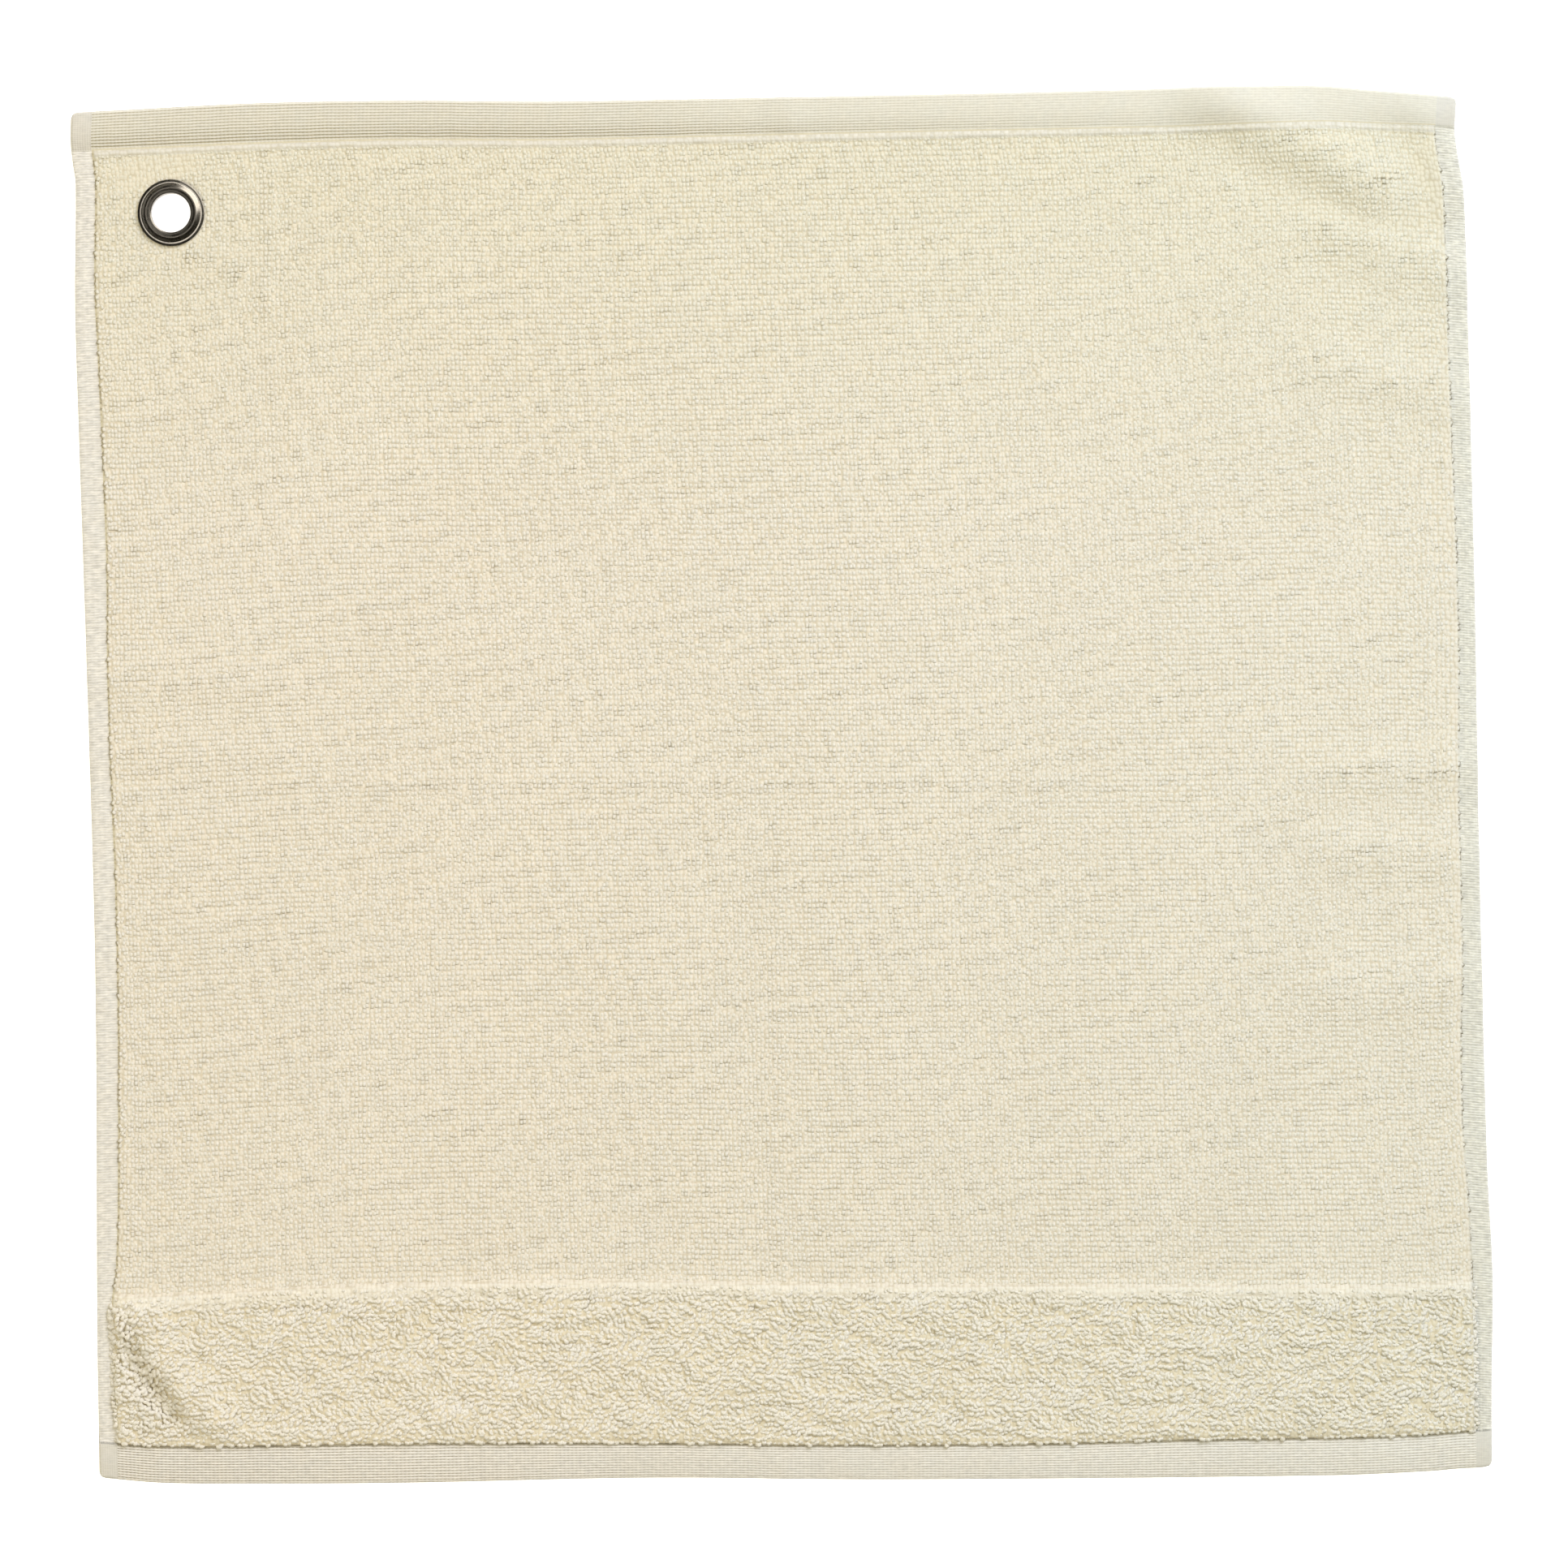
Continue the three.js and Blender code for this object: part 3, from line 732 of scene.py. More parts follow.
@dataclass(frozen=True)
class NickelFinish:
    """Polished nickel plate with faint polishing marks, dark where no other colour is given."""

    name: str = "nickel_plate"
    base: Colour = (0.30, 0.272, 0.232)
    wear_and_sheen: Colour = (0.34, 0.312, 0.27)
    rough_low: float = 0.24
    rough_high: float = 0.32
    worn_run: Span = (0.4, 0.7)
    rough_run: Span = (0.3, 0.7)
    smear_scale: float = 420.0
    scratch_scale: float = 2200.0
    scratch_deep: float = 0.002

    def make(self) -> bpy.types.Material:
        """Builds the material.

        Returns:
            The finished material.
        """
        material = bpy.data.materials.new(self.name)
        material.use_nodes = True
        tree = NodeTree(material.node_tree)
        place = tree.add("ShaderNodeTexCoord").outputs["Object"]
        smear = tree.noise(place, self.smear_scale, detail=3.0)
        scratch = tree.noise(place, self.scratch_scale)
        colour = tree.mix(tree.ramp(smear, *self.worn_run, 0.0, 1.0), self.base, self.wear_and_sheen)
        rough = tree.ramp(smear, *self.rough_run, self.rough_low, self.rough_high)
        values = {"Height": scratch, "Distance": self.scratch_deep * MM, "Strength": 1.0}
        bump = tree.add("ShaderNodeBump", values)
        shader = tree.add("ShaderNodeBsdfPrincipled", {
            "Base Color": colour, "Metallic": 1.0, "Roughness": rough, "Normal": bump.outputs[0],
        })
        tree.add("ShaderNodeOutputMaterial", {"Surface": shader.outputs[0]})
        return material


def new_piece(name: str, points: np.ndarray, faces: list,
              materials: list[bpy.types.Material]) -> bpy.types.Object:
    """Makes an object from points in millimetres.

    Args:
        name: the piece's name.
        points: one row for each point.
        faces: tuples of point numbers, or none for loose points.
        materials: the materials of its slots.

    Returns:
        The object, linked to the scene, with its place in its mesh.
    """
    mesh = bpy.data.meshes.new(name)
    mesh.from_pydata((np.asarray(points, float) * MM).tolist(), [], faces)
    for material in materials:
        mesh.materials.append(material)
    mesh.update()
    piece = bpy.data.objects.new(name, mesh)
    bpy.context.scene.collection.objects.link(piece)
    return piece


@dataclass
class ClothSheet:
    """The whole cloth as one closed sheet: its face, its back and the rim between them."""

    weave: Weave
    finishes: dict[str, bpy.types.Material]
    column_gap: float = 2.45
    rib_rows: int = 26
    field_rows: int = 176
    band_rows: int = 30
    step: float = 0.36
    back_stride: int = 4
    back_margin: int = 2
    hole: float = 8.4
    rim: Rows = ((0.0, 0.55), (0.35, 0.93), (0.9, 1.0))
    edge_columns: tuple[float, ...] = (0.0, 0.35, 0.9, 1.7, 2.6, 4.2, 5.6)
    ridge_rows: tuple[float, ...] = (0.9, 1.4, 2.0, 2.6, 3.3, 4.0, 4.8, 5.6)
    band_from: float = 1.0
    roll_rows: tuple[float, ...] = (0.75, 1.1, 1.5, 1.9)
    roll_rise: Span = (0.0, 1.0)
    roll_fall: float = 1.2
    roll_drift: Drift = Drift(0.3, 7, 77)
    ridge_end_drift: Drift = Drift(0.8, 7, 83)
    ridge_drift: Drift = Drift(0.05, 8, 79)
    ridge_fade: Span = (1.0, 1.2)
    taper_run: Span = (-2.2, -0.3)
    crown_turn: float = 0.9
    crown_base: float = 0.5
    selvedge_relief: float = 0.5
    low_sag: float = 0.25
    seam_run: Span = (0.45, 1.0)
    rim_curl: float = 0.35
    back_depth: float = 0.5
    points: list = field(default_factory=list)
    uvs: list = field(default_factory=list)
    gap_depths_and_shades: list = field(default_factory=list)

    def columns(self) -> np.ndarray:
        """Distances across at which the face has points: close at the rim and at the selvedges."""
        left, right = self.weave.selvedge_left, self.weave.selvedge_right
        width = self.weave.lay.width
        start = [*self.edge_columns, left - self.step, left + self.step]
        end = [right + self.step, right - self.step, *reversed(self.edge_columns)]
        first, last = start[-1], width - end[0]
        count = round((last - first) / self.column_gap)
        middle = np.linspace(first, last, count + 1)[1:-1]
        return np.array([*start, *middle, *(width - x for x in end)])

    def rows(self, across: np.ndarray) -> tuple[np.ndarray, np.ndarray, np.ndarray]:
        """The face's rows.

        Args:
            across: the distances across of its columns.

        Returns:
            The distance down of each point of each row, the same as the weave counts it, with the
            ribs of a hem a pitch apart, and each row's zone.
        """
        weave, step = self.weave, self.step
        long = weave.lay.length(across)
        hem, pile, low = weave.hem_edge(across), weave.band_edge(across), weave.low_edge(across)
        zero = np.zeros_like(across)
        rims = [zero + distance for distance, _ in self.rim]
        top_ribs = np.linspace(rims[-1], hem - step, self.rib_rows)
        low_ribs = np.linspace(low + step, long - rims[-1], self.rib_rows)
        roll = [hem + distance for distance in (step, *self.roll_rows)]
        ridge = [pile + distance for distance in (step, *self.ridge_rows)]
        short = np.linspace(hem + weave.roll_wide, pile - step, self.field_rows)
        band = np.linspace(ridge[-1] + self.band_from, low - step, self.band_rows)
        down = np.array([*rims, *top_ribs[1:], *roll, *short, *ridge, *band, *low_ribs[:-1],
                         *(long - distance for distance in reversed(rims))])
        ends = len(rims) + self.rib_rows - 1
        zones = np.full(len(down), Zone.FIELD.value)
        zones[:ends] = Zone.TOP_HEM.value
        zones[-ends:] = Zone.BOTTOM_HEM.value
        zones[-ends - len(band) - len(ridge):-ends] = Zone.BAND.value
        woven = down.copy()
        ribs = weave.rib_pitch / 2 * np.arange(ends)[:, None]
        woven[:ends] = ribs
        woven[-ends:] = ribs
        return down, woven, zones

    def rim_share(self, across: np.ndarray, down: np.ndarray) -> np.ndarray:
        """How much of the thickness is left where the rim rounds off, from the side or the end."""
        long = self.weave.lay.length(across)
        side = np.minimum(across, self.weave.lay.width - across)
        end = np.minimum(down, long - down)
        distance, share = np.array(self.rim).T
        return np.interp(np.minimum(side, end), distance, share)

    def hem_share(self, across: np.ndarray, down: np.ndarray) -> np.ndarray:
        """How far each place of a hem is from the towel's end to the hem's seam, from 0 to 1."""
        weave = self.weave
        top = down / weave.hem_edge(across)
        long = weave.lay.length(across)
        low = (long - down) / (long - weave.low_edge(across))
        return np.clip(np.where(down < long / 2, top, low), 0, 1)

    def gap_depth_and_shade(self, across: np.ndarray, down: np.ndarray) -> np.ndarray:
        """Gap depth and painted shade between the ribs, from 0 to 1: deepest at the upper hem's seam."""
        weave = self.weave
        near_seam = smooth_step(self.hem_share(across, down), *self.seam_run)
        top = curve_through(weave.top_gaps, across) + curve_through(weave.seam_gaps, across) * near_seam
        bottom = curve_through(weave.bottom_gaps, across)
        depth = np.where(down < weave.lay.length(across) / 2, top, bottom)
        between = (down > weave.hem_edge(across)) & (down < weave.low_edge(across))
        return np.where(between, 1.0, depth)

    def hem_thickness(self, across: np.ndarray, down: np.ndarray, woven: np.ndarray) -> np.ndarray:
        """The thickness of the two hems: crowned, ribbed, and sagging towards the upper one's seam."""
        weave = self.weave
        long = weave.lay.length(across)
        share = self.hem_share(across, down)
        sag = np.where(down < long / 2, curve_through(weave.top_hem_sag, across), self.low_sag)
        ribs = curve_through(weave.rib_high, across) * np.cos(2 * math.pi * woven / weave.rib_pitch)
        crown = np.where(down < long / 2, weave.hem_crown, weave.low_crown)
        return weave.hem_thick + crown * np.sin(math.pi * share) - sag * share**3 + ribs

    def field_thickness(self, across: np.ndarray, down: np.ndarray, x: np.ndarray,
                        y: np.ndarray) -> np.ndarray:
        """The thickness under the short loops, with the brushed roll beside the upper hem."""
        weave = self.weave
        from_hem = down - weave.hem_edge(across)
        roll = smooth_step(from_hem, *self.roll_rise)
        roll *= 1 - smooth_step(from_hem, self.roll_fall, weave.roll_wide)
        roll *= 1 + self.roll_drift.at(x, y)
        return weave.ground_thick + (weave.roll_thick - weave.ground_thick) * roll + weave.relief(x, y)

    def band_thickness(self, across: np.ndarray, down: np.ndarray, x: np.ndarray,
                       y: np.ndarray) -> np.ndarray:
        """The thickness under the long loops, with the brushed ridge along the band's upper edge."""
        weave = self.weave
        from_ridge = down - weave.band_edge(across)
        ridge = smooth_step(from_ridge, 0.0, weave.ridge_from)
        end = curve_through(weave.ridge_to, across) + self.ridge_end_drift.at(x, y)
        ridge *= 1 - smooth_step(from_ridge, end - self.ridge_fade[0], end + self.ridge_fade[1])
        ridge *= 1 + self.ridge_drift.at(x, y)
        deep = weave.band_ground + weave.clumps(x, y) - weave.parting_deep * weave.parted(x, y)
        deep -= weave.band_taper * smooth_step(down - weave.low_edge(across), *self.taper_run)
        return deep + ((weave.ridge_thick - deep) * ridge - weave.valley(x, y))

    def thickness(self, across: np.ndarray, down: np.ndarray, woven: np.ndarray, zones: np.ndarray,
                  x: np.ndarray, y: np.ndarray) -> np.ndarray:
        """The cloth's thickness at each point of the face.

        Args:
            across: distances across, one for each point.
            down: distances down, one for each point.
            woven: the same as the weave counts them.
            zones: each point's zone.
            x: the points' places along X.
            y: the points' places along Y.

        Returns:
            The thickness at each point.
        """
        weave = self.weave
        inside = (across > weave.selvedge_left) & (across < weave.lay.width - weave.selvedge_right)
        field_thick = self.field_thickness(across, down, x, y)
        band_thick = self.band_thickness(across, down, x, y)
        thick = np.where(zones == Zone.BAND.value, band_thick, field_thick)
        edge = np.minimum(across / weave.selvedge_left, (weave.lay.width - across) / weave.selvedge_right)
        crown = np.sin(math.pi * np.clip(edge, 0, 1) * self.crown_turn) - self.crown_base
        flat = weave.selvedge_thick + weave.selvedge_crown * crown
        thick = np.where(inside, thick, flat + weave.relief(x, y) * self.selvedge_relief)
        hem = (zones == Zone.TOP_HEM.value) | (zones == Zone.BOTTOM_HEM.value)
        thick = np.where(hem, self.hem_thickness(across, down, woven), thick)
        return thick * self.rim_share(across, down)

    def add_grid(self, across: np.ndarray, down: np.ndarray, x: np.ndarray, y: np.ndarray,
                 z: np.ndarray) -> np.ndarray:
        """Adds a grid of points.

        Args:
            across: the points' first map value.
            down: the points' second map value.
            x: the points' places along X.
            y: the points' places along Y.
            z: the points' heights.

        Returns:
            The points' numbers, in the grid's shape.
        """
        start = sum(len(block) for block in self.points)
        self.points.append(np.stack((x, y, z), axis=-1).reshape(-1, 3))
        self.uvs.append(np.stack((across, down), axis=-1).reshape(-1, 2))
        return start + np.arange(x.size).reshape(x.shape)

    def cells(self, grid: np.ndarray, keep: np.ndarray, upward: bool) -> list:
        """The grid's faces, but for those over the eyelet's hole.

        Args:
            grid: the points' numbers.
            keep: which cells are kept.
            upward: whether the faces look up.

        Returns:
            The faces.
        """
        a, b, c, d = grid[:-1, :-1], grid[1:, :-1], grid[1:, 1:], grid[:-1, 1:]
        order = (a, b, c, d) if upward else (a, d, c, b)
        return np.stack(order, axis=-1)[keep].tolist()

    def hole_loop(self, keep: np.ndarray) -> list[tuple[int, int]]:
        """The points round the hole, in order.

        Args:
            keep: which cells are kept.

        Returns:
            Pairs of row and column numbers, anticlockwise seen from above.
        """
        edges = {}
        for i, j in np.argwhere(~keep).tolist():
            around = (
                ((i, j - 1), (i, j), (i + 1, j)), ((i + 1, j), (i + 1, j), (i + 1, j + 1)),
                ((i, j + 1), (i + 1, j + 1), (i, j + 1)), ((i - 1, j), (i, j + 1), (i, j)),
            )
            for neighbour, start, end in around:
                if keep[neighbour]:
                    edges[start] = end
        first = next(iter(edges))
        loop = [first]
        while edges[loop[-1]] != first:
            loop.append(edges[loop[-1]])
        return loop

    def open_hole(self, x: np.ndarray, y: np.ndarray) -> tuple[np.ndarray, list[tuple[int, int]]]:
        """Leaves out the cells over the eyelet's hole and draws the points round it onto a circle.

        Args:
            x: the points' places along X, which are changed.
            y: the points' places along Y, which are changed.

        Returns:
            Which cells are kept, and the points round the hole in order.
        """
        weave = self.weave
        r = weave.from_eyelet(x, y)
        inside = r < self.hole
        keep = ~(inside[:-1, :-1] | inside[1:, :-1] | inside[1:, 1:] | inside[:-1, 1:])
        loop = self.hole_loop(keep)
        i, j = np.array(loop).T
        pull = self.hole / r[i, j]
        x[i, j] = weave.eyelet_x + (x[i, j] - weave.eyelet_x) * pull
        y[i, j] = weave.eyelet_y + (y[i, j] - weave.eyelet_y) * pull
        return keep, loop

    def zip_rows(self, first: list[tuple[float, int]], last: list[tuple[float, int]]) -> list:
        """Triangles between two runs of points, whatever the number of points in each.

        Args:
            first: pairs of a distance along and a point's number.
            last: the same for the other run.

        Returns:
            The triangles.
        """
        faces = []
        i = j = 0
        while i < len(first) - 1 or j < len(last) - 1:
            here = first[i + 1][0] if i < len(first) - 1 else math.inf
            there = last[j + 1][0] if j < len(last) - 1 else math.inf
            if here <= there:
                faces.append((first[i][1], last[j][1], first[i + 1][1]))
                i += 1
            else:
                faces.append((first[i][1], last[j][1], last[j + 1][1]))
                j += 1
        return faces

    def picked(self, count: int, near: np.ndarray) -> np.ndarray:
        """Which rows or columns of the face the back has: one in a few, and all round the eyelet.

        Args:
            count: how many the face has.
            near: those that the eyelet's hole touches.

        Returns:
            Their numbers.
        """
        numbers = np.arange(count)
        rim = (numbers <= 1) | (numbers >= count - 2)
        hole = (numbers >= near.min() - self.back_margin) & (numbers <= near.max() + 1 + self.back_margin)
        return numbers[(numbers % self.back_stride == 0) | rim | hole]

    def build(self) -> bpy.types.Object:
        """Builds the sheet.

        Returns:
            The sheet, with its map and materials.
        """
        weave, lay = self.weave, self.weave.lay
        columns = self.columns()
        down, woven, zones = self.rows(columns)
        across = np.broadcast_to(columns, down.shape)
        x, y = lay.place(weave.sway(across, down), down)
        keep, loop = self.open_hole(x, y)
        lift = lay.lift(x, y)
        zone = np.broadcast_to(zones[:, None], down.shape)
        top = weave.pinch_front(x, y, lift + self.thickness(across, down, woven, zone, x, y))
        face = self.add_grid(across, woven, x, y, top)
        self.gap_depths_and_shades.append(self.gap_depth_and_shade(across, down).ravel())
        faces = self.cells(face, keep, upward=True)
        kinds = self.face_kinds(zones, columns)[keep].tolist()
        rows = self.picked(len(down), np.flatnonzero(~keep.all(axis=1)))
        cols = self.picked(len(columns), np.flatnonzero(~keep.all(axis=0)))
        pick = np.ix_(rows, cols)
        curl = self.rim_curl * (1 - self.rim_share(across[pick], down[pick]))
        under = weave.pinch_back(x[pick], y[pick], lift[pick]) + curl
        back = self.add_grid(across[pick], down[pick], x[pick], y[pick], under)
        self.gap_depths_and_shades.append(np.full(under.size, self.back_depth))
        back_faces = self.cells(back, keep[np.ix_(rows[:-1], cols[:-1])], upward=False)
        row_at = {int(row): k for k, row in enumerate(rows)}
        col_at = {int(col): k for k, col in enumerate(cols)}
        ring = [(int(face[i, j]), int(back[row_at[i], col_at[j]])) for i, j in loop]
        wall = [(*here, *reversed(there)) for here, there in zip(ring, ring[1:] + ring[:1])]
        rest = [*wall, *self.rim_faces(face, back, down, columns, rows, cols)]
        return self.finished([*faces, *back_faces, *rest], kinds, len(back_faces), len(rest))

    def face_kinds(self, zones: np.ndarray, columns: np.ndarray) -> np.ndarray:
        """Which finish each cell of the face has.

        Args:
            zones: each row's zone.
            columns: the columns' distances across.

        Returns:
            The number of each cell's kind.
        """
        middle = (columns[1:] + columns[:-1]) / 2
        weave, step = self.weave, self.step
        left, right = weave.selvedge_left - step / 2, weave.lay.width - weave.selvedge_right + step / 2
        side = (middle < left) | (middle > right)
        hem = (zones[:-1] == Zone.TOP_HEM.value) & (zones[1:] == Zone.TOP_HEM.value)
        hem |= (zones[:-1] == Zone.BOTTOM_HEM.value)
        kinds = np.full((len(zones) - 1, len(columns) - 1), Kind.TERRY.value)
        # Painted shade: the ground under the long loops has a darker, ochre finish.
        kinds[zones[:-1] == Zone.BAND.value] = Kind.GROUND.value
        first_field = int(np.argmax(zones == Zone.FIELD.value))
        first_band = int(np.argmax(zones == Zone.BAND.value))
        left_line = int(np.searchsorted(columns, weave.selvedge_left)) - 1
        right_line = int(np.searchsorted(columns, weave.lay.width - weave.selvedge_right)) - 1
        low_half = len(hem) // 2
        kinds[first_field - 1:first_field + len(self.roll_rows) + 1] = Kind.ROLL.value
        # Painted light: the ridge's finish is lighter than the cream, where the upright loops catch the
        # lamp.
        kinds[first_band:first_band + len(self.ridge_rows)] = Kind.RIDGE.value
        # Painted shade: the line beside the left selvedge takes the groove's dark finish, on the side
        # away from the key lamp.
        kinds[:, left_line] = Kind.GROOVE.value
        kinds[:, right_line] = Kind.ROLL.value
        kinds[hem, :] = Kind.HEM.value
        kinds[low_half:][hem[low_half:], :] = Kind.LOW_HEM.value
        # Painted shade: the row at the upper hem's seam takes the groove's dark finish.
        kinds[first_field - 2] = Kind.GROOVE.value
        # Painted shadow: the row where the bottom hem meets the band takes a dark finish, under the long
        # loops.
        kinds[int(np.argmax(zones == Zone.BOTTOM_HEM.value)) - 1] = Kind.LOW_GAP.value
        kinds[:, side] = Kind.SELVEDGE.value
        kinds[:, middle > right] = Kind.RIGHT_SELVEDGE.value
        kinds[np.ix_(hem, side)] = Kind.CORNER.value
        return kinds

    def rim_faces(self, face: np.ndarray, back: np.ndarray, down: np.ndarray, columns: np.ndarray,
                  rows: np.ndarray, cols: np.ndarray) -> list:
        """The rim between the face and the back, on all four sides.

        Args:
            face: the face's point numbers.
            back: the back's point numbers.
            down: the face's distances down.
            columns: the face's distances across.
            rows: the rows that the back has.
            cols: the columns that the back has.

        Returns:
            The triangles.
        """
        def run(keys: np.ndarray, numbers: np.ndarray) -> list[tuple[float, int]]:
            """Pairs of a distance along and a point's number."""
            return list(zip(keys.tolist(), numbers.tolist()))

        top = self.zip_rows(run(columns[cols], back[0]), run(columns, face[0]))
        bottom = self.zip_rows(run(columns, face[-1]), run(columns[cols], back[-1]))
        left = self.zip_rows(run(down[:, 0], face[:, 0]), run(down[rows, 0], back[:, 0]))
        right = self.zip_rows(run(down[rows, -1], back[:, -1]), run(down[:, -1], face[:, -1]))
        return [*top, *bottom, *left, *right]

    def finished(self, faces: list, kinds: list, back_count: int, rest_count: int) -> bpy.types.Object:
        """Writes the mesh, its map and its materials.

        Args:
            faces: the sheet's faces: of its face, its back and the rest, in this order.
            kinds: the kinds of the first ones.
            back_count: how many the back has.
            rest_count: how many the rim and the hole have.

        Returns:
            The sheet.
        """
        sheet = new_piece("towel_sheet", np.concatenate(self.points), faces,
                          [self.finishes[kind.name.lower()] for kind in Kind])
        mesh = sheet.data
        corners = np.zeros(len(mesh.loops), int)
        mesh.loops.foreach_get("vertex_index", corners)
        uv = mesh.uv_layers.new(name=CLOTH_MAP)
        uv.data.foreach_set("uv", (np.concatenate(self.uvs)[corners] * MM).ravel())
        depth = mesh.attributes.new(DEPTH_AND_SHADE, "FLOAT", "POINT")
        depth.data.foreach_set("value", np.concatenate(self.gap_depths_and_shades))
        slots = [*kinds, *([Kind.TERRY.value] * back_count), *([Kind.SELVEDGE.value] * rest_count)]
        mesh.polygons.foreach_set("material_index", slots)
        mesh.polygons.foreach_set("use_smooth", [True] * len(mesh.polygons))
        mesh.update()
        return sheet


@dataclass(frozen=True)
class LoopSizes:
    """Sizes of a long loop of yarn, which stands or leans."""

    yarn: float
    half_width: float
    reach: float
    height: float

    def values(self) -> dict[str, float]:
        """The sizes under the names of a tree's inputs, in metres."""
        return {"Yarn": self.yarn * MM, "Half Width": self.half_width * MM,
                "Reach": self.reach * MM, "Height": self.height * MM}


@dataclass(frozen=True)
class PillowSizes:
    """Sizes of a short loop pressed by its neighbours, which shows as a small pillow."""

    wide: float
    long: float
    high: float

    def values(self) -> dict[str, float]:
        """The sizes under the names of a tree's inputs, in metres."""
        return {"Wide": self.wide * MM, "Long": self.long * MM, "High": self.high * MM}


def leaning(face: Callable[[np.ndarray, np.ndarray], np.ndarray], x: np.ndarray, y: np.ndarray,
            turn: np.ndarray) -> tuple[np.ndarray, np.ndarray]:
    """The turns about X and Y with which forms stand square on sloping ground.

    Args:
        face: gives the ground's height at points.
        x: the forms' places along X.
        y: their places along Y.
        turn: their turns about Z, made after the other two.

    Returns:
        The two turns, in radians.
    """
    slope_x = (face(x + 1, y) - face(x - 1, y)) / 2
    slope_y = (face(x, y + 1) - face(x, y - 1)) / 2
    forward = slope_y * np.cos(turn) - slope_x * np.sin(turn)
    aside = slope_x * np.cos(turn) + slope_y * np.sin(turn)
    return np.arctan(forward), -np.arctan(aside)


@dataclass(frozen=True)
class Stray:
    """How far loops stray: the bound ones, and how much more the loose ones beside a selvedge."""

    bound: float
    loose: float

    def draw(self, rng: np.random.Generator, loose: np.ndarray) -> np.ndarray:
        """A random stray for each loop, either way, by how loose it is from 0 to 1."""
        return rng.uniform(-1, 1, loose.shape) * (self.bound + self.loose * loose)


@dataclass
class Roots:
    """Where loops stand: their places in millimetres, turns about X, Y and Z, and sizes."""

    points: np.ndarray
    turns: np.ndarray
    sizes: np.ndarray

    def part(self, chosen: np.ndarray) -> "Roots":
        """The chosen ones."""
        return Roots(self.points[chosen], self.turns[chosen], self.sizes[chosen])

    def strips(self, count: int) -> list["Roots"]:
        """The roots in a number of equal strips, from left to right."""
        order = np.argsort(self.points[:, 0], kind="stable")
        return [self.part(chosen) for chosen in np.array_split(order, count)]


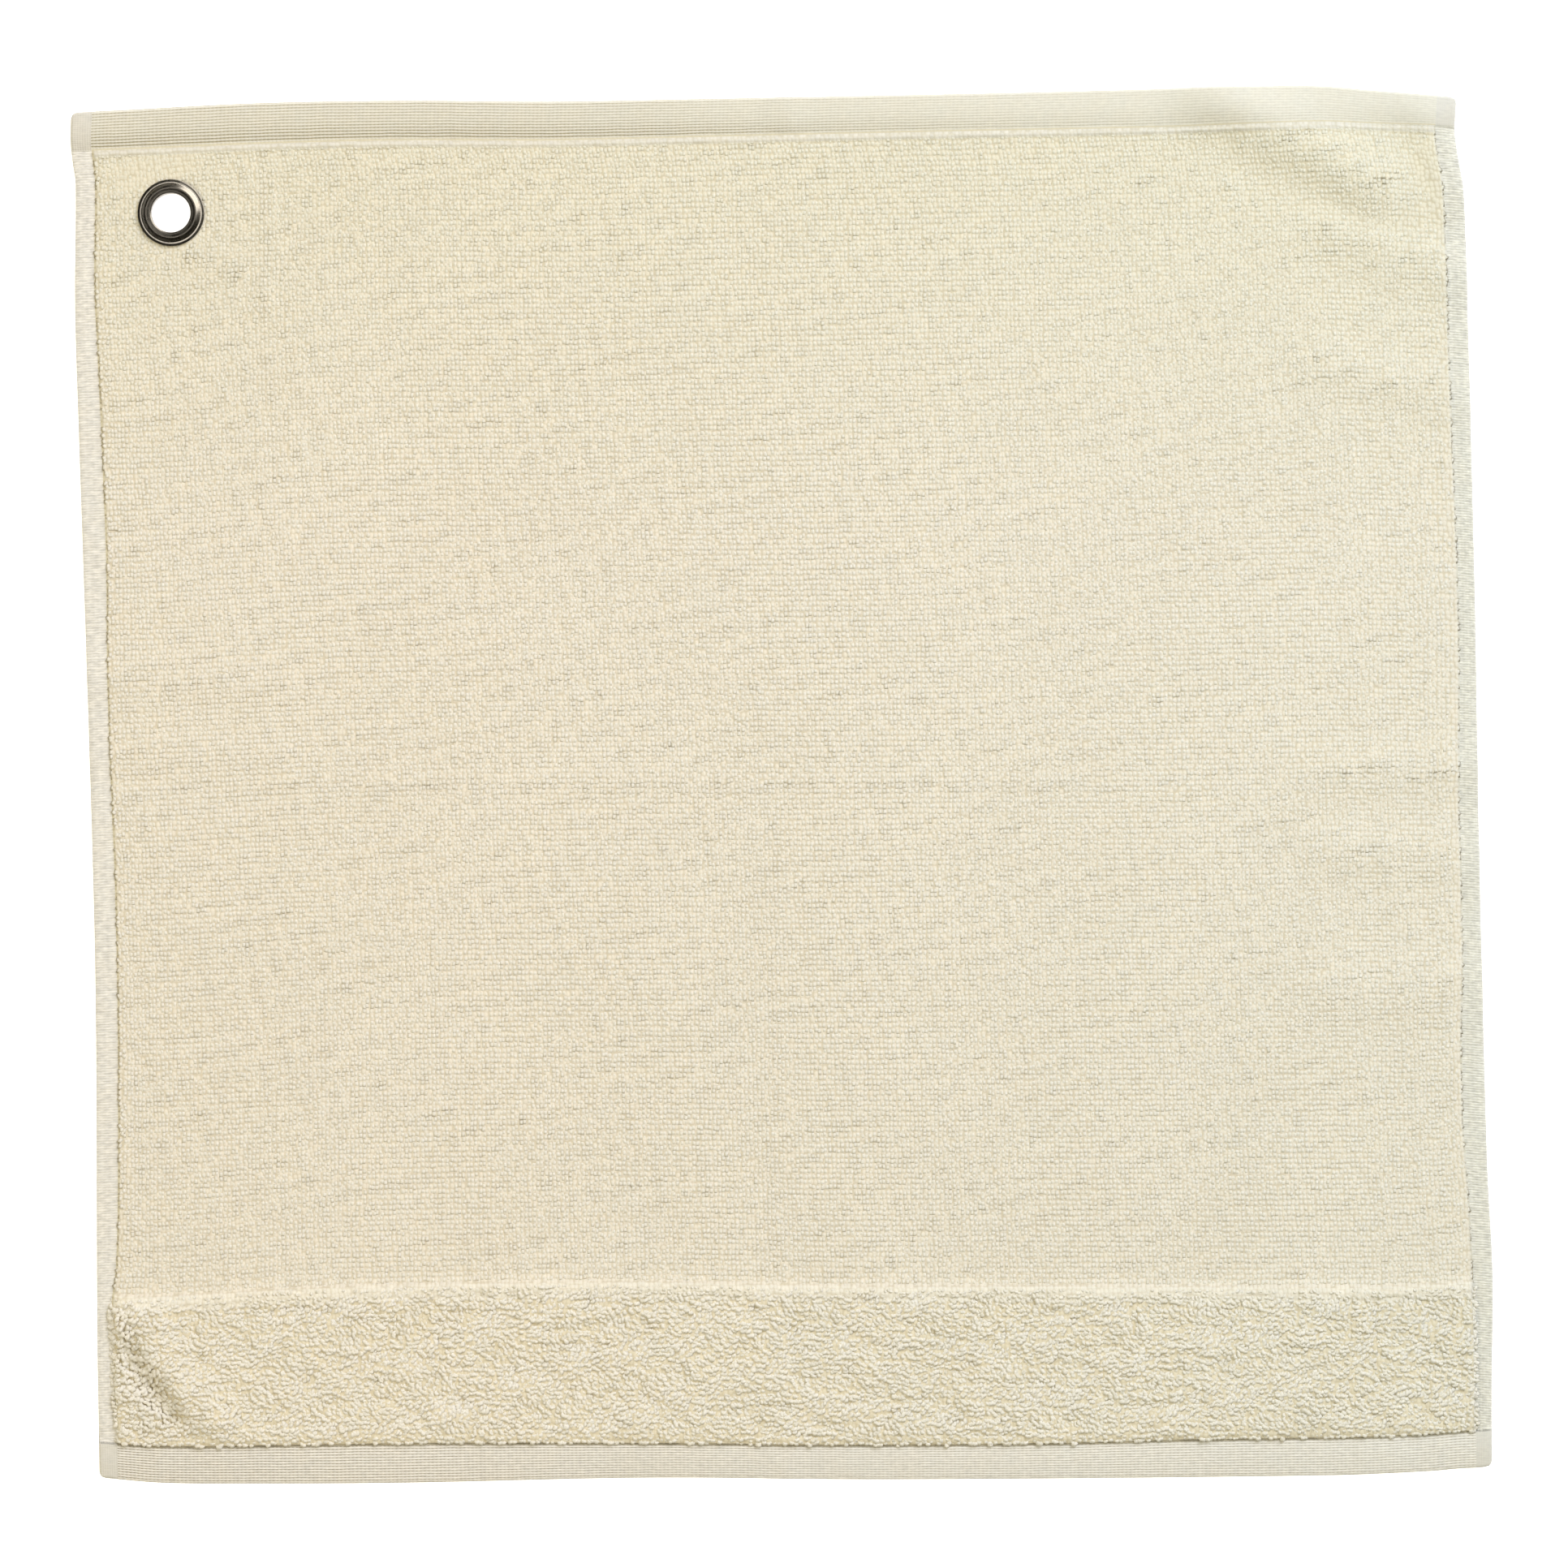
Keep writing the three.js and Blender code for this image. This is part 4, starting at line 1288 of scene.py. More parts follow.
class YarnTree:
    """A Geometry Nodes tree that stands a form of yarn on each point of a mesh.

    Each point's turn and size come from its own attributes, with a random part added. The classes
    that follow give the forms.
    """

    SIZES: tuple[str, ...] = ()
    COUNT = 1

    def __init__(self, name: str) -> None:
        """Builds the tree.

        Args:
            name: the tree's name.
        """
        self.group = bpy.data.node_groups.new(name, "GeometryNodeTree")
        self.group.is_modifier = True
        self.inputs: dict[str, str] = {}
        self.tree = NodeTree(self.group)
        self.group.interface.new_socket("Geometry", in_out="INPUT", socket_type="NodeSocketGeometry")
        self.group.interface.new_socket("Geometry", in_out="OUTPUT", socket_type="NodeSocketGeometry")
        for size in (*self.SIZES, "Turn Scatter", "Size Scatter"):
            self.socket(size, "NodeSocketFloat")
        self.socket("Seed", "NodeSocketInt")
        self.socket("Material", "NodeSocketMaterial")
        self.given = self.tree.add("NodeGroupInput").outputs
        self.scatter(self.forms())

    def socket(self, name: str, kind: str) -> None:
        """Adds a named input and keeps its identifier."""
        made = self.group.interface.new_socket(name, in_out="INPUT", socket_type=kind)
        self.inputs[name] = made.identifier

    def forms(self) -> bpy.types.NodeSocket:
        """The socket with the forms, as instances. Each kind of tree has its own."""
        raise NotImplementedError

    def rising(self, form: bpy.types.NodeSocket, high: object) -> bpy.types.NodeSocket:
        """Notes on a form how far up each point is, as a share of its height.

        Args:
            form: the form's socket.
            high: its height.

        Returns:
            The form's socket with the note.
        """
        place = self.tree.add("GeometryNodeInputPosition").outputs[0]
        up = self.tree.add("ShaderNodeSeparateXYZ", {0: place}).outputs[2]
        noted = self.tree.add("GeometryNodeStoreNamedAttribute", {
            "Geometry": form, "Name": RISE, "Value": self.tree.math("DIVIDE", up, high),
        }, data_type="FLOAT", domain="POINT")
        return noted.outputs[0]

    def random(self, kind: str, low: object, high: object, shift: float) -> bpy.types.NodeSocket:
        """A random value for each point.

        Args:
            kind: FLOAT, INT or FLOAT_VECTOR.
            low: the lowest value.
            high: the highest value.
            shift: what is added to the seed.

        Returns:
            The socket with the value.
        """
        first, output = {"FLOAT_VECTOR": (0, 0), "FLOAT": (2, 1), "INT": (4, 2)}[kind]
        seed = self.tree.math("ADD", self.given["Seed"], shift)
        node = self.tree.add("FunctionNodeRandomValue", {first: low, first + 1: high, 8: seed},
                             data_type=kind)
        return node.outputs[output]

    def scatter(self, forms: bpy.types.NodeSocket) -> None:
        """Stands the forms on the points and makes the result real.

        Args:
            forms: the socket with the forms.
        """
        tree, given = self.tree, self.given
        points = tree.add("GeometryNodeMeshToPoints", {"Mesh": given["Geometry"]}).outputs[0]
        turn, size = (tree.add("GeometryNodeInputNamedAttribute", {"Name": name},
                               data_type="FLOAT_VECTOR").outputs[0] for name in (TURN, SIZE))
        spread = given["Turn Scatter"]
        minus = tree.math("MULTIPLY", spread, -1.0)
        low = tree.add("ShaderNodeCombineXYZ", {0: minus, 1: minus, 2: minus}).outputs[0]
        high = tree.add("ShaderNodeCombineXYZ", {0: spread, 1: spread, 2: spread}).outputs[0]
        stray = self.random("FLOAT_VECTOR", low, high, 1)
        turned = tree.add("ShaderNodeVectorMath", {0: turn, 1: stray}, operation="ADD").outputs[0]
        smallest = tree.math("SUBTRACT", 1.0, given["Size Scatter"])
        largest = tree.math("ADD", 1.0, given["Size Scatter"])
        grow = self.random("FLOAT", smallest, largest, 2)
        scale = tree.add("ShaderNodeVectorMath", {0: size, "Scale": grow}, operation="SCALE").outputs[0]
        form = self.random("INT", 0, self.COUNT - 1, 0)
        placed = tree.add("GeometryNodeInstanceOnPoints", {
            "Points": points, "Instance": forms, "Pick Instance": True,
            "Instance Index": form, "Rotation": turned, "Scale": scale,
        }).outputs[0]
        tinted = tree.add("GeometryNodeStoreNamedAttribute", {
            "Geometry": placed, "Name": TINT, "Value": self.random("FLOAT", 0.0, 1.0, 3),
        }, data_type="FLOAT", domain="INSTANCE").outputs[0]
        real = tree.add("GeometryNodeRealizeInstances", {0: tinted}).outputs[0]
        dressed = tree.add("GeometryNodeSetMaterial", {"Geometry": real, "Material": given["Material"]})
        tree.add("NodeGroupOutput", {0: dressed.outputs[0]})

    def grow(self, name: str, roots: Roots, sizes: LoopSizes | PillowSizes, material: bpy.types.Material,
             turn_scatter: float, size_scatter: float, seed: int) -> bpy.types.Object:
        """Grows one piece of yarn.

        Args:
            name: the piece's name.
            roots: where its loops stand.
            sizes: the sizes of one loop.
            material: its finish.
            turn_scatter: the random part of each turn, in radians.
            size_scatter: the random part of each size, as a share.
            seed: which random pattern.

        Returns:
            The piece, as a plain mesh.
        """
        piece = new_piece(name, roots.points, [], [])
        points = piece.data
        for label, values in ((TURN, roots.turns), (SIZE, roots.sizes)):
            attribute = points.attributes.new(label, "FLOAT_VECTOR", "POINT")
            attribute.data.foreach_set("vector", values.astype(float).ravel())
        modifier = piece.modifiers.new("loops", "NODES")
        modifier.node_group = self.group
        values = {**sizes.values(), "Turn Scatter": turn_scatter, "Size Scatter": size_scatter,
                  "Seed": seed, "Material": material}
        for label, value in values.items():
            modifier[self.inputs[label]] = value
        graph = bpy.context.evaluated_depsgraph_get()
        made = bpy.data.meshes.new_from_object(piece.evaluated_get(graph), preserve_all_data_layers=True,
                                               depsgraph=graph)
        piece.modifiers.clear()
        piece.data = made
        made.name = name
        bpy.data.meshes.remove(points)
        return piece


class LoopTree(YarnTree):
    """Long loops: arches of round yarn in three forms, straight, wide and swayed."""

    SIZES = ("Yarn", "Half Width", "Reach", "Height")
    COUNT = 3
    SHAPES = ((1.0, 1.0, 1.0, 0.0), (1.25, 0.8, 1.1, 0.6), (0.8, 1.2, 0.9, -0.7))
    SIDES = 4
    STEPS = 3

    def forms(self) -> bpy.types.NodeSocket:
        """The three arches, each along a quadratic curve from root to root, whose middle point lies
        twice as far out as the arch itself reaches."""
        tree, given = self.tree, self.given
        profile = tree.add("GeometryNodeCurvePrimitiveCircle", {
            "Resolution": self.SIDES, "Radius": tree.math("MULTIPLY", given["Yarn"], 0.5),
        })
        joined = tree.add("GeometryNodeJoinGeometry")
        for wide, reach, high, sway in self.SHAPES:
            half = tree.math("MULTIPLY", given["Half Width"], wide)
            start = tree.add("ShaderNodeCombineXYZ", {0: tree.math("MULTIPLY", half, -1.0)}).outputs[0]
            middle = tree.add("ShaderNodeCombineXYZ", {
                0: tree.math("MULTIPLY", given["Reach"], sway),
                1: tree.math("MULTIPLY", given["Reach"], 2.0 * reach),
                2: tree.math("MULTIPLY", given["Height"], 2.0 * high),
            }).outputs[0]
            end = tree.add("ShaderNodeCombineXYZ", {0: half}).outputs[0]
            bend = tree.add("GeometryNodeCurveQuadraticBezier", {
                "Resolution": self.STEPS, "Start": start, "Middle": middle, "End": end,
            })
            arch = tree.add("GeometryNodeCurveToMesh", {
                "Curve": bend.outputs[0], "Profile Curve": profile.outputs[0], "Fill Caps": True,
            })
            smooth = tree.add("GeometryNodeSetShadeSmooth", {"Geometry": arch.outputs[0]}).outputs[0]
            held = tree.add("GeometryNodeGeometryToInstance", {0: self.rising(smooth, given["Height"])})
            self.group.links.new(held.outputs[0], joined.inputs[0])
        return joined.outputs[0]


class PillowTree(YarnTree):
    """Short loops: small four-sided pillows, low and smoothly shaded."""

    SIZES = ("Wide", "Long", "High")
    CORNERS = 4

    def forms(self) -> bpy.types.NodeSocket:
        """The pillow: a low cone on a square foot, stretched to its sizes."""
        tree, given = self.tree, self.given
        to_corner = math.sqrt(0.5)
        cone = tree.add("GeometryNodeMeshCone", {
            "Vertices": self.CORNERS, "Radius Top": 0.0, "Radius Bottom": to_corner, "Depth": 1.0,
        }, fill_type="NGON")
        smooth = tree.add("GeometryNodeSetShadeSmooth", {
            "Geometry": cone.outputs["Mesh"], "Selection": cone.outputs["Side"],
        })
        square = tree.add("GeometryNodeTransform", {
            "Geometry": self.rising(smooth.outputs[0], 1.0),
            "Rotation": (0.0, 0.0, math.pi / self.CORNERS),
        })
        size = tree.add("ShaderNodeCombineXYZ", {0: given["Wide"], 1: given["Long"], 2: given["High"]})
        sized = tree.add("GeometryNodeTransform", {
            "Geometry": square.outputs[0], "Scale": size.outputs[0],
        })
        return tree.add("GeometryNodeGeometryToInstance", {0: sized.outputs[0]}).outputs[0]


@dataclass
class FieldPile:
    """The short loops of the field, in the loom's grid of columns and rows."""

    weave: Weave
    tree: PillowTree
    material: bpy.types.Material
    seed: int = 37
    pitch_across: float = 1.48
    pitch_down: float = 1.87
    pillow: PillowSizes = PillowSizes(wide=1.56, long=2.14, high=0.35)
    inset: float = 0.85
    above: float = 0.3
    below: float = 0.35
    loose_to: float = 3.4
    stray_across: Stray = Stray(bound=0.3, loose=0.3)
    stray_down: Stray = Stray(bound=0.34, loose=0.3)
    stray_turn: Stray = Stray(bound=0.22, loose=0.5)
    stray_high: Stray = Stray(bound=0.24, loose=0.35)
    turn_drift: Drift = Drift(0.1, 9, 31)
    high_drift: Drift = Drift(0.16, 6, 33)
    gap_drift: Drift = Drift(1.0, 5, 35)
    gap_run: Span = (0.55, 1.3)
    low_share: float = 0.03
    low_if_loose: float = 0.12
    low_in_gaps: float = 0.3
    low_high: float = 0.35
    loose_fall: float = 0.5
    flatter: float = 0.26
    flatter_slant: float = 0.5
    flatter_run: Span = (-60.0, 300.0)
    girth: Span = (0.86, 1.06)
    bury: float = 0.11
    clear: float = 12.2
    strips: int = 3
    first_seed: int = 300

    def grid(self) -> tuple[np.ndarray, np.ndarray, np.ndarray]:
        """The loom's grid.

        Returns:
            The distances across and down of each loop, and how near a selvedge it is, from 0 to 1.
        """
        weave = self.weave
        first = weave.selvedge_left + self.inset
        last = weave.lay.width - weave.selvedge_right - self.inset
        columns = np.linspace(first, last, round((last - first) / self.pitch_across) + 1)
        start = weave.hem_edge(columns) + weave.roll_wide - self.above
        end = weave.band_edge(columns) + self.below
        rows = round(float(np.mean(end - start)) / self.pitch_down) + 1
        down = np.linspace(start, end, rows)
        across = np.broadcast_to(columns, down.shape)
        loose = 1 - smooth_step(np.minimum(across - first, last - across), 0.0, self.loose_to)
        return across, down, loose

    def roots(self) -> Roots:
        """Where the loops stand."""
        weave, lay = self.weave, self.weave.lay
        rng = np.random.default_rng(self.seed)
        across, down, loose = self.grid()
        across = across + self.stray_across.draw(rng, loose)
        down = down + self.stray_down.draw(rng, loose)
        x, y = lay.place(weave.sway(across, down), down)
        kept = weave.from_eyelet(x, y) > self.clear
        x, y, loose = x[kept], y[kept], loose[kept]
        height = weave.ground_thick + weave.relief(x, y)
        top = weave.pinch_front(x, y, lay.lift(x, y) + height + self.pillow.high) - self.pillow.high
        base = np.minimum(lay.lift(x, y) + height, top) - self.bury
        turn = self.stray_turn.draw(rng, loose) + self.turn_drift.at(x, y)
        turns = np.stack((*leaning(weave.short_face, x, y, turn), turn), axis=-1)
        high = 1 + self.high_drift.at(x, y) + self.stray_high.draw(rng, loose)
        gaps = smooth_step(self.gap_drift.at(x, y), *self.gap_run)
        low = rng.random(len(x)) < self.low_share + self.low_if_loose * loose + self.low_in_gaps * gaps
        high = np.where(low, self.low_high, high) * weave.standing(x, y)
        # The loose loops beside the right selvedge lie lower than those at the left one.
        high *= 1 - self.loose_fall * loose * (x > 0)
        high *= 1 - self.flatter * smooth_step(x + self.flatter_slant * y, *self.flatter_run)
        wide, long = (rng.uniform(*self.girth, len(x)) for _ in range(2))
        return Roots(np.stack((x, y, base), axis=-1), turns, np.stack((wide, long, high), axis=-1))

    def build(self) -> list[bpy.types.Object]:
        """Grows the field, in strips from left to right."""
        return [self.tree.grow(f"field_loops_{number + 1}", roots, self.pillow, self.material,
                               turn_scatter=0.0, size_scatter=0.0, seed=self.first_seed + number)
                for number, roots in enumerate(self.roots().strips(self.strips))]


@dataclass
class BandPile:
    """The deep-pile band: long loops that lean and tangle, drooping over the bottom hem."""

    weave: Weave
    tree: LoopTree
    material: bpy.types.Material
    seed: int = 41
    pitch_across: float = 1.36
    pitch_down: float = 1.66
    stray_across: float = 0.45
    stray_down: float = 0.4
    loop: LoopSizes = LoopSizes(yarn=1.42, half_width=0.5, reach=0.48, height=0.95)
    root: float = 3.36
    over: float = 0.8
    below_edge: float = 2.0
    above_hem: float = 1.15
    ragged: Drift = Drift(1.6, 6, 57)
    fringe: Drift = Drift(0.5, 5, 67)
    fringe_run: Span = (0.9, 1.0)
    droop: float = 0.9
    droop_run: Span = (0.2, 2.4)
    part_drop: float = 0.6
    part_size: float = 0.15
    valley_rise: float = 0.22
    lowest: float = 1.0
    wild: Line = Line(-238, -190, -226, -228, 1.0, 9, 6)
    wild_rise: Span = (-0.5, 0.8)
    wild_size: float = 0.2
    wild_high: float = 0.5
    start_run: Span = (0.0, 0.07)
    start_rise: float = 0.45
    start_size: float = 0.7
    start_grow: float = 0.3
    end_drop: float = 0.6
    end_run: Span = (0.95, 1.0)
    downward: float = -math.pi / 2
    lean_drifts: tuple[Drift, ...] = (Drift(1.3, 16, 51), Drift(0.6, 5, 53))
    lean_stray: float = 0.35
    hang_run: Span = (0.92, 0.99)
    hang_stray: float = 0.5
    tilt: Span = (-0.1, 0.4)
    size_drift: Drift = Drift(0.1, 11, 61)
    pressed: float = 0.56
    flatter: float = 0.2
    flatter_run: Span = (0.0, 250.0)
    turn_scatter: float = 0.15
    size_scatter: float = 0.14
    strips: int = 2
    first_seed: int = 100

    def roots(self) -> Roots:
        """Where the loops stand."""
        weave, lay = self.weave, self.weave.lay
        rng = np.random.default_rng(self.seed)
        first = weave.selvedge_left - self.over
        last = lay.width - weave.selvedge_right + self.over
        columns = np.linspace(first, last, round((last - first) / self.pitch_across) + 1)
        start = weave.band_edge(columns) + self.below_edge
        end = weave.low_edge(columns) - self.above_hem
        rows = round(float(np.mean(end - start)) / self.pitch_down) + 1
        down = np.linspace(start, end, rows)
        share = np.broadcast_to(np.linspace(0, 1, rows)[:, None], down.shape)
        reach = self.stray_across
        across = columns + rng.uniform(-reach, reach, down.shape) * self.pitch_across
        out = self.ragged.at(across, down)
        across = np.clip(across, first - out, last + out)
        reach = self.stray_down
        down = down + rng.uniform(-reach, reach, down.shape) * self.pitch_down
        down += self.fringe.at(across, share) * smooth_step(share, *self.fringe_run)
        x, y = lay.place(weave.sway(across, down), down)
        droop = 1 - smooth_step(np.minimum(across - first, last - across), *self.droop_run)
        parted = weave.parted(x, y)
        wild = self.wild.near(x, y)
        started = smooth_step(share, *self.start_run)
        z = weave.deep_face(x, y) + self.root - self.part_drop * parted - self.droop * droop
        z += self.valley_rise * weave.valley(x, y)
        loose = wild * rng.uniform(*self.wild_rise, x.shape)
        z += loose - self.end_drop * smooth_step(share, *self.end_run) + self.start_rise * (1 - started)
        z = np.maximum(z, self.lowest)
        size = self.start_size + self.start_grow * started + self.size_drift.at(x, y)
        size = size - self.part_size * parted + self.wild_size * wild
        high = 1 - self.flatter * smooth_step(x, *self.flatter_run) + self.wild_high * wild
        sizes = np.stack((size, size, size * (self.pressed * high)), axis=-1)
        points = np.stack((x, y, z), axis=-1)
        turns = self.turns(rng, x, y, share)
        return Roots(*(values.reshape(-1, 3) for values in (points, turns, sizes)))

    def turns(self, rng: np.random.Generator, x: np.ndarray, y: np.ndarray,
              share: np.ndarray) -> np.ndarray:
        """How the loops lean: in wandering swirls, and down over the hem in the last rows. A loop
        reaches along its own Y, so it is turned a quarter less than the way it leans.

        Args:
            rng: the random numbers.
            x: the loops' places along X.
            y: their places along Y.
            share: how far down the band each is, from 0 to 1.

        Returns:
            Their turns about X, Y and Z.
        """
        lean = sum((drift.at(x, y) for drift in self.lean_drifts), self.downward)
        lean += rng.uniform(-self.lean_stray, self.lean_stray, x.shape)
        hang = smooth_step(share, *self.hang_run)
        straight = self.downward + rng.uniform(-self.hang_stray, self.hang_stray, x.shape)
        lean = lean * (1 - hang) + straight * hang
        tilt = rng.uniform(*self.tilt, x.shape)
        turn = lean - math.pi / 2
        forward, aside = leaning(self.weave.deep_face, x, y, turn)
        return np.stack((forward - tilt, aside, turn), axis=-1)

    def build(self) -> list[bpy.types.Object]:
        """Grows the band, in strips from left to right."""
        return [self.tree.grow(f"band_loops_{number + 1}", roots, self.loop, self.material,
                               self.turn_scatter, self.size_scatter, seed=self.first_seed + number)
                for number, roots in enumerate(self.roots().strips(self.strips))]


@dataclass
class Eyelet:
    """The domed flange with its barrel, and the washer behind."""

    weave: Weave
    dark: bpy.types.Material
    wear_and_sheen: bpy.types.Material
    turns: int = 96
    bore: float = 7.0
    wall: float = 0.8
    low: float = 0.2
    curl: float = 8.6
    curl_high: float = 0.8
    under: float = 2.7
    edge: float = 12.0
    ledge_out: float = 11.1
    ledge_in: float = 10.55
    lip: float = 3.18
    ledge: float = 3.3
    dome_out: float = 10.5
    crest: float = 9.1
    inner: float = 0.65
    inner_drop: float = 0.34
    top: float = 4.35
    bevel: float = 0.1
    throat: float = 0.3
    foot: float = 0.05
    slope_from: float = 0.12
    slope_bend: float = 1.25
    slope_steps: int = 14
    rim_steps: int = 7
    crest_steps: int = 12
    crown_share: float = 0.6
    crown_fall: float = 0.25
    slack: float = 0.01
    washer_in: float = 8.9
    washer_thick: float = 0.9
    washer_steps: int = 8

    def arc(self, centre: tuple[float, float], wide: float, high: float, start: float, end: float,
            count: int) -> list[tuple[float, float]]:
        """Points of an ellipse's arc from one angle in degrees to another, as radius and height."""
        turns = np.radians(np.linspace(start, end, count))
        return [(centre[0] + wide * math.cos(t), centre[1] + high * math.sin(t)) for t in turns]

    def slope(self) -> list[tuple[float, float]]:
        """The dome's outer slope, nearly straight, from the ledge to the crest."""
        share = np.linspace(self.slope_from, 1.0, self.slope_steps)
        radius = self.dome_out + (self.crest - self.dome_out) * share
        high = 1 - ((1 - share) ** self.slope_bend)
        return list(zip(radius.tolist(), (self.ledge + (self.top - self.ledge) * high).tolist()))

    def flange_outline(self) -> list[tuple[float, float]]:
        """The section of the flange and its barrel, anticlockwise."""
        middle = (self.low + self.curl_high) / 2
        half = (self.curl_high - self.low) / 2
        rim_middle = (self.under + self.lip) / 2
        rim_half = (self.lip - self.under) / 2
        crest_end = self.bore + self.inner
        return [
            (self.bore, self.low + self.bevel),
            (self.bore + self.bevel, self.low),
            *self.arc((self.curl - half, middle), half, half, -90, 90, self.rim_steps),
            (self.bore + self.wall + self.bevel, self.curl_high + self.bevel),
            (self.bore + self.wall, self.curl_high + self.throat),
            (self.bore + self.wall, self.under),
            *self.arc((self.edge - rim_half, rim_middle), rim_half, rim_half, -90, 75, self.rim_steps),
            (self.ledge_out, self.ledge),
            ((self.ledge_out + self.ledge_in) / 2, self.ledge),
            (self.ledge_in, self.ledge),
            (self.dome_out, self.ledge + self.foot),
            *self.slope(),
            (self.crest * self.crown_share + crest_end * (1 - self.crown_share),
             self.top - self.inner_drop * self.crown_fall),
            *self.arc((crest_end, self.top - self.inner_drop - self.inner), self.inner, self.inner,
                      80, 180, self.crest_steps),
        ]

    def washer_outline(self) -> list[tuple[float, float]]:
        """The section of the washer, anticlockwise."""
        half = self.washer_thick / 2
        return [
            (self.washer_in, self.bevel),
            (self.washer_in + self.bevel, 0.0),
            *self.arc((self.edge - half, half), half, half, -90, 90, self.washer_steps),
            (self.washer_in + self.bevel, self.washer_thick),
            (self.washer_in, self.washer_thick - self.bevel),
        ]

    def turned(self, name: str, outline: list[tuple[float, float]]) -> bpy.types.Object:
        """Turns a section round the eyelet's axis.

        Args:
            name: the piece's name.
            outline: radius and height pairs, anticlockwise.

        Returns:
            The closed ring.
        """
        radius, height = np.array(outline).T
        angle = np.linspace(0, 2 * math.pi, self.turns, endpoint=False)
        x = self.weave.eyelet_x + np.outer(np.cos(angle), radius)
        y = self.weave.eyelet_y + np.outer(np.sin(angle), radius)
        points = np.stack((x, y, np.broadcast_to(height, x.shape)), axis=-1).reshape(-1, 3)
        here = np.arange(x.size).reshape(x.shape)
        there = np.roll(here, -1, axis=0)
        quads = np.stack((here, there, np.roll(there, -1, axis=1), np.roll(here, -1, axis=1)), axis=-1)
        piece = new_piece(name, points, quads.reshape(-1, 4).tolist(), [self.dark, self.wear_and_sheen])
        edges = np.minimum(radius, np.roll(radius, -1))
        # Painted sheen: the flat ledge takes the second finish, far lighter than the dome's dark nickel.
        flat = (edges >= self.ledge_in - self.slack) & (edges < self.ledge_out - self.slack)
        flat &= height >= self.ledge - self.slack
        slots = np.tile(flat.astype(int), self.turns)
        piece.data.polygons.foreach_set("material_index", slots.tolist())
        piece.data.polygons.foreach_set("use_smooth", [True] * len(slots))
        return piece

    def build(self) -> tuple[bpy.types.Object, bpy.types.Object]:
        """Builds the flange and the washer."""
        return (self.turned("nickel_flange", self.flange_outline()),
                self.turned("nickel_washer", self.washer_outline()))


@dataclass(frozen=True)
class Lamp:
    """A square soft light: its place and side in metres, its power in watts, and what it reaches."""

    name: str
    place: tuple[float, float, float]
    side: float
    power: float
    colour: Colour
    mirrored: bool = True
    lights_cloth: bool = True

    def hang(self) -> None:
        """Adds the light to the scene, so that it looks at the towel."""
        lamp = bpy.data.lights.new(self.name, "AREA")
        lamp.shape = "SQUARE"
        lamp.size = self.side
        lamp.energy = self.power
        lamp.color = self.colour
        stand = bpy.data.objects.new(self.name, lamp)
        stand.location = self.place
        stand.visible_glossy = self.mirrored
        stand.visible_diffuse = self.lights_cloth
        aim = -stand.location
        stand.rotation_euler = aim.to_track_quat("-Z", "Y").to_euler()
        bpy.context.scene.collection.objects.link(stand)


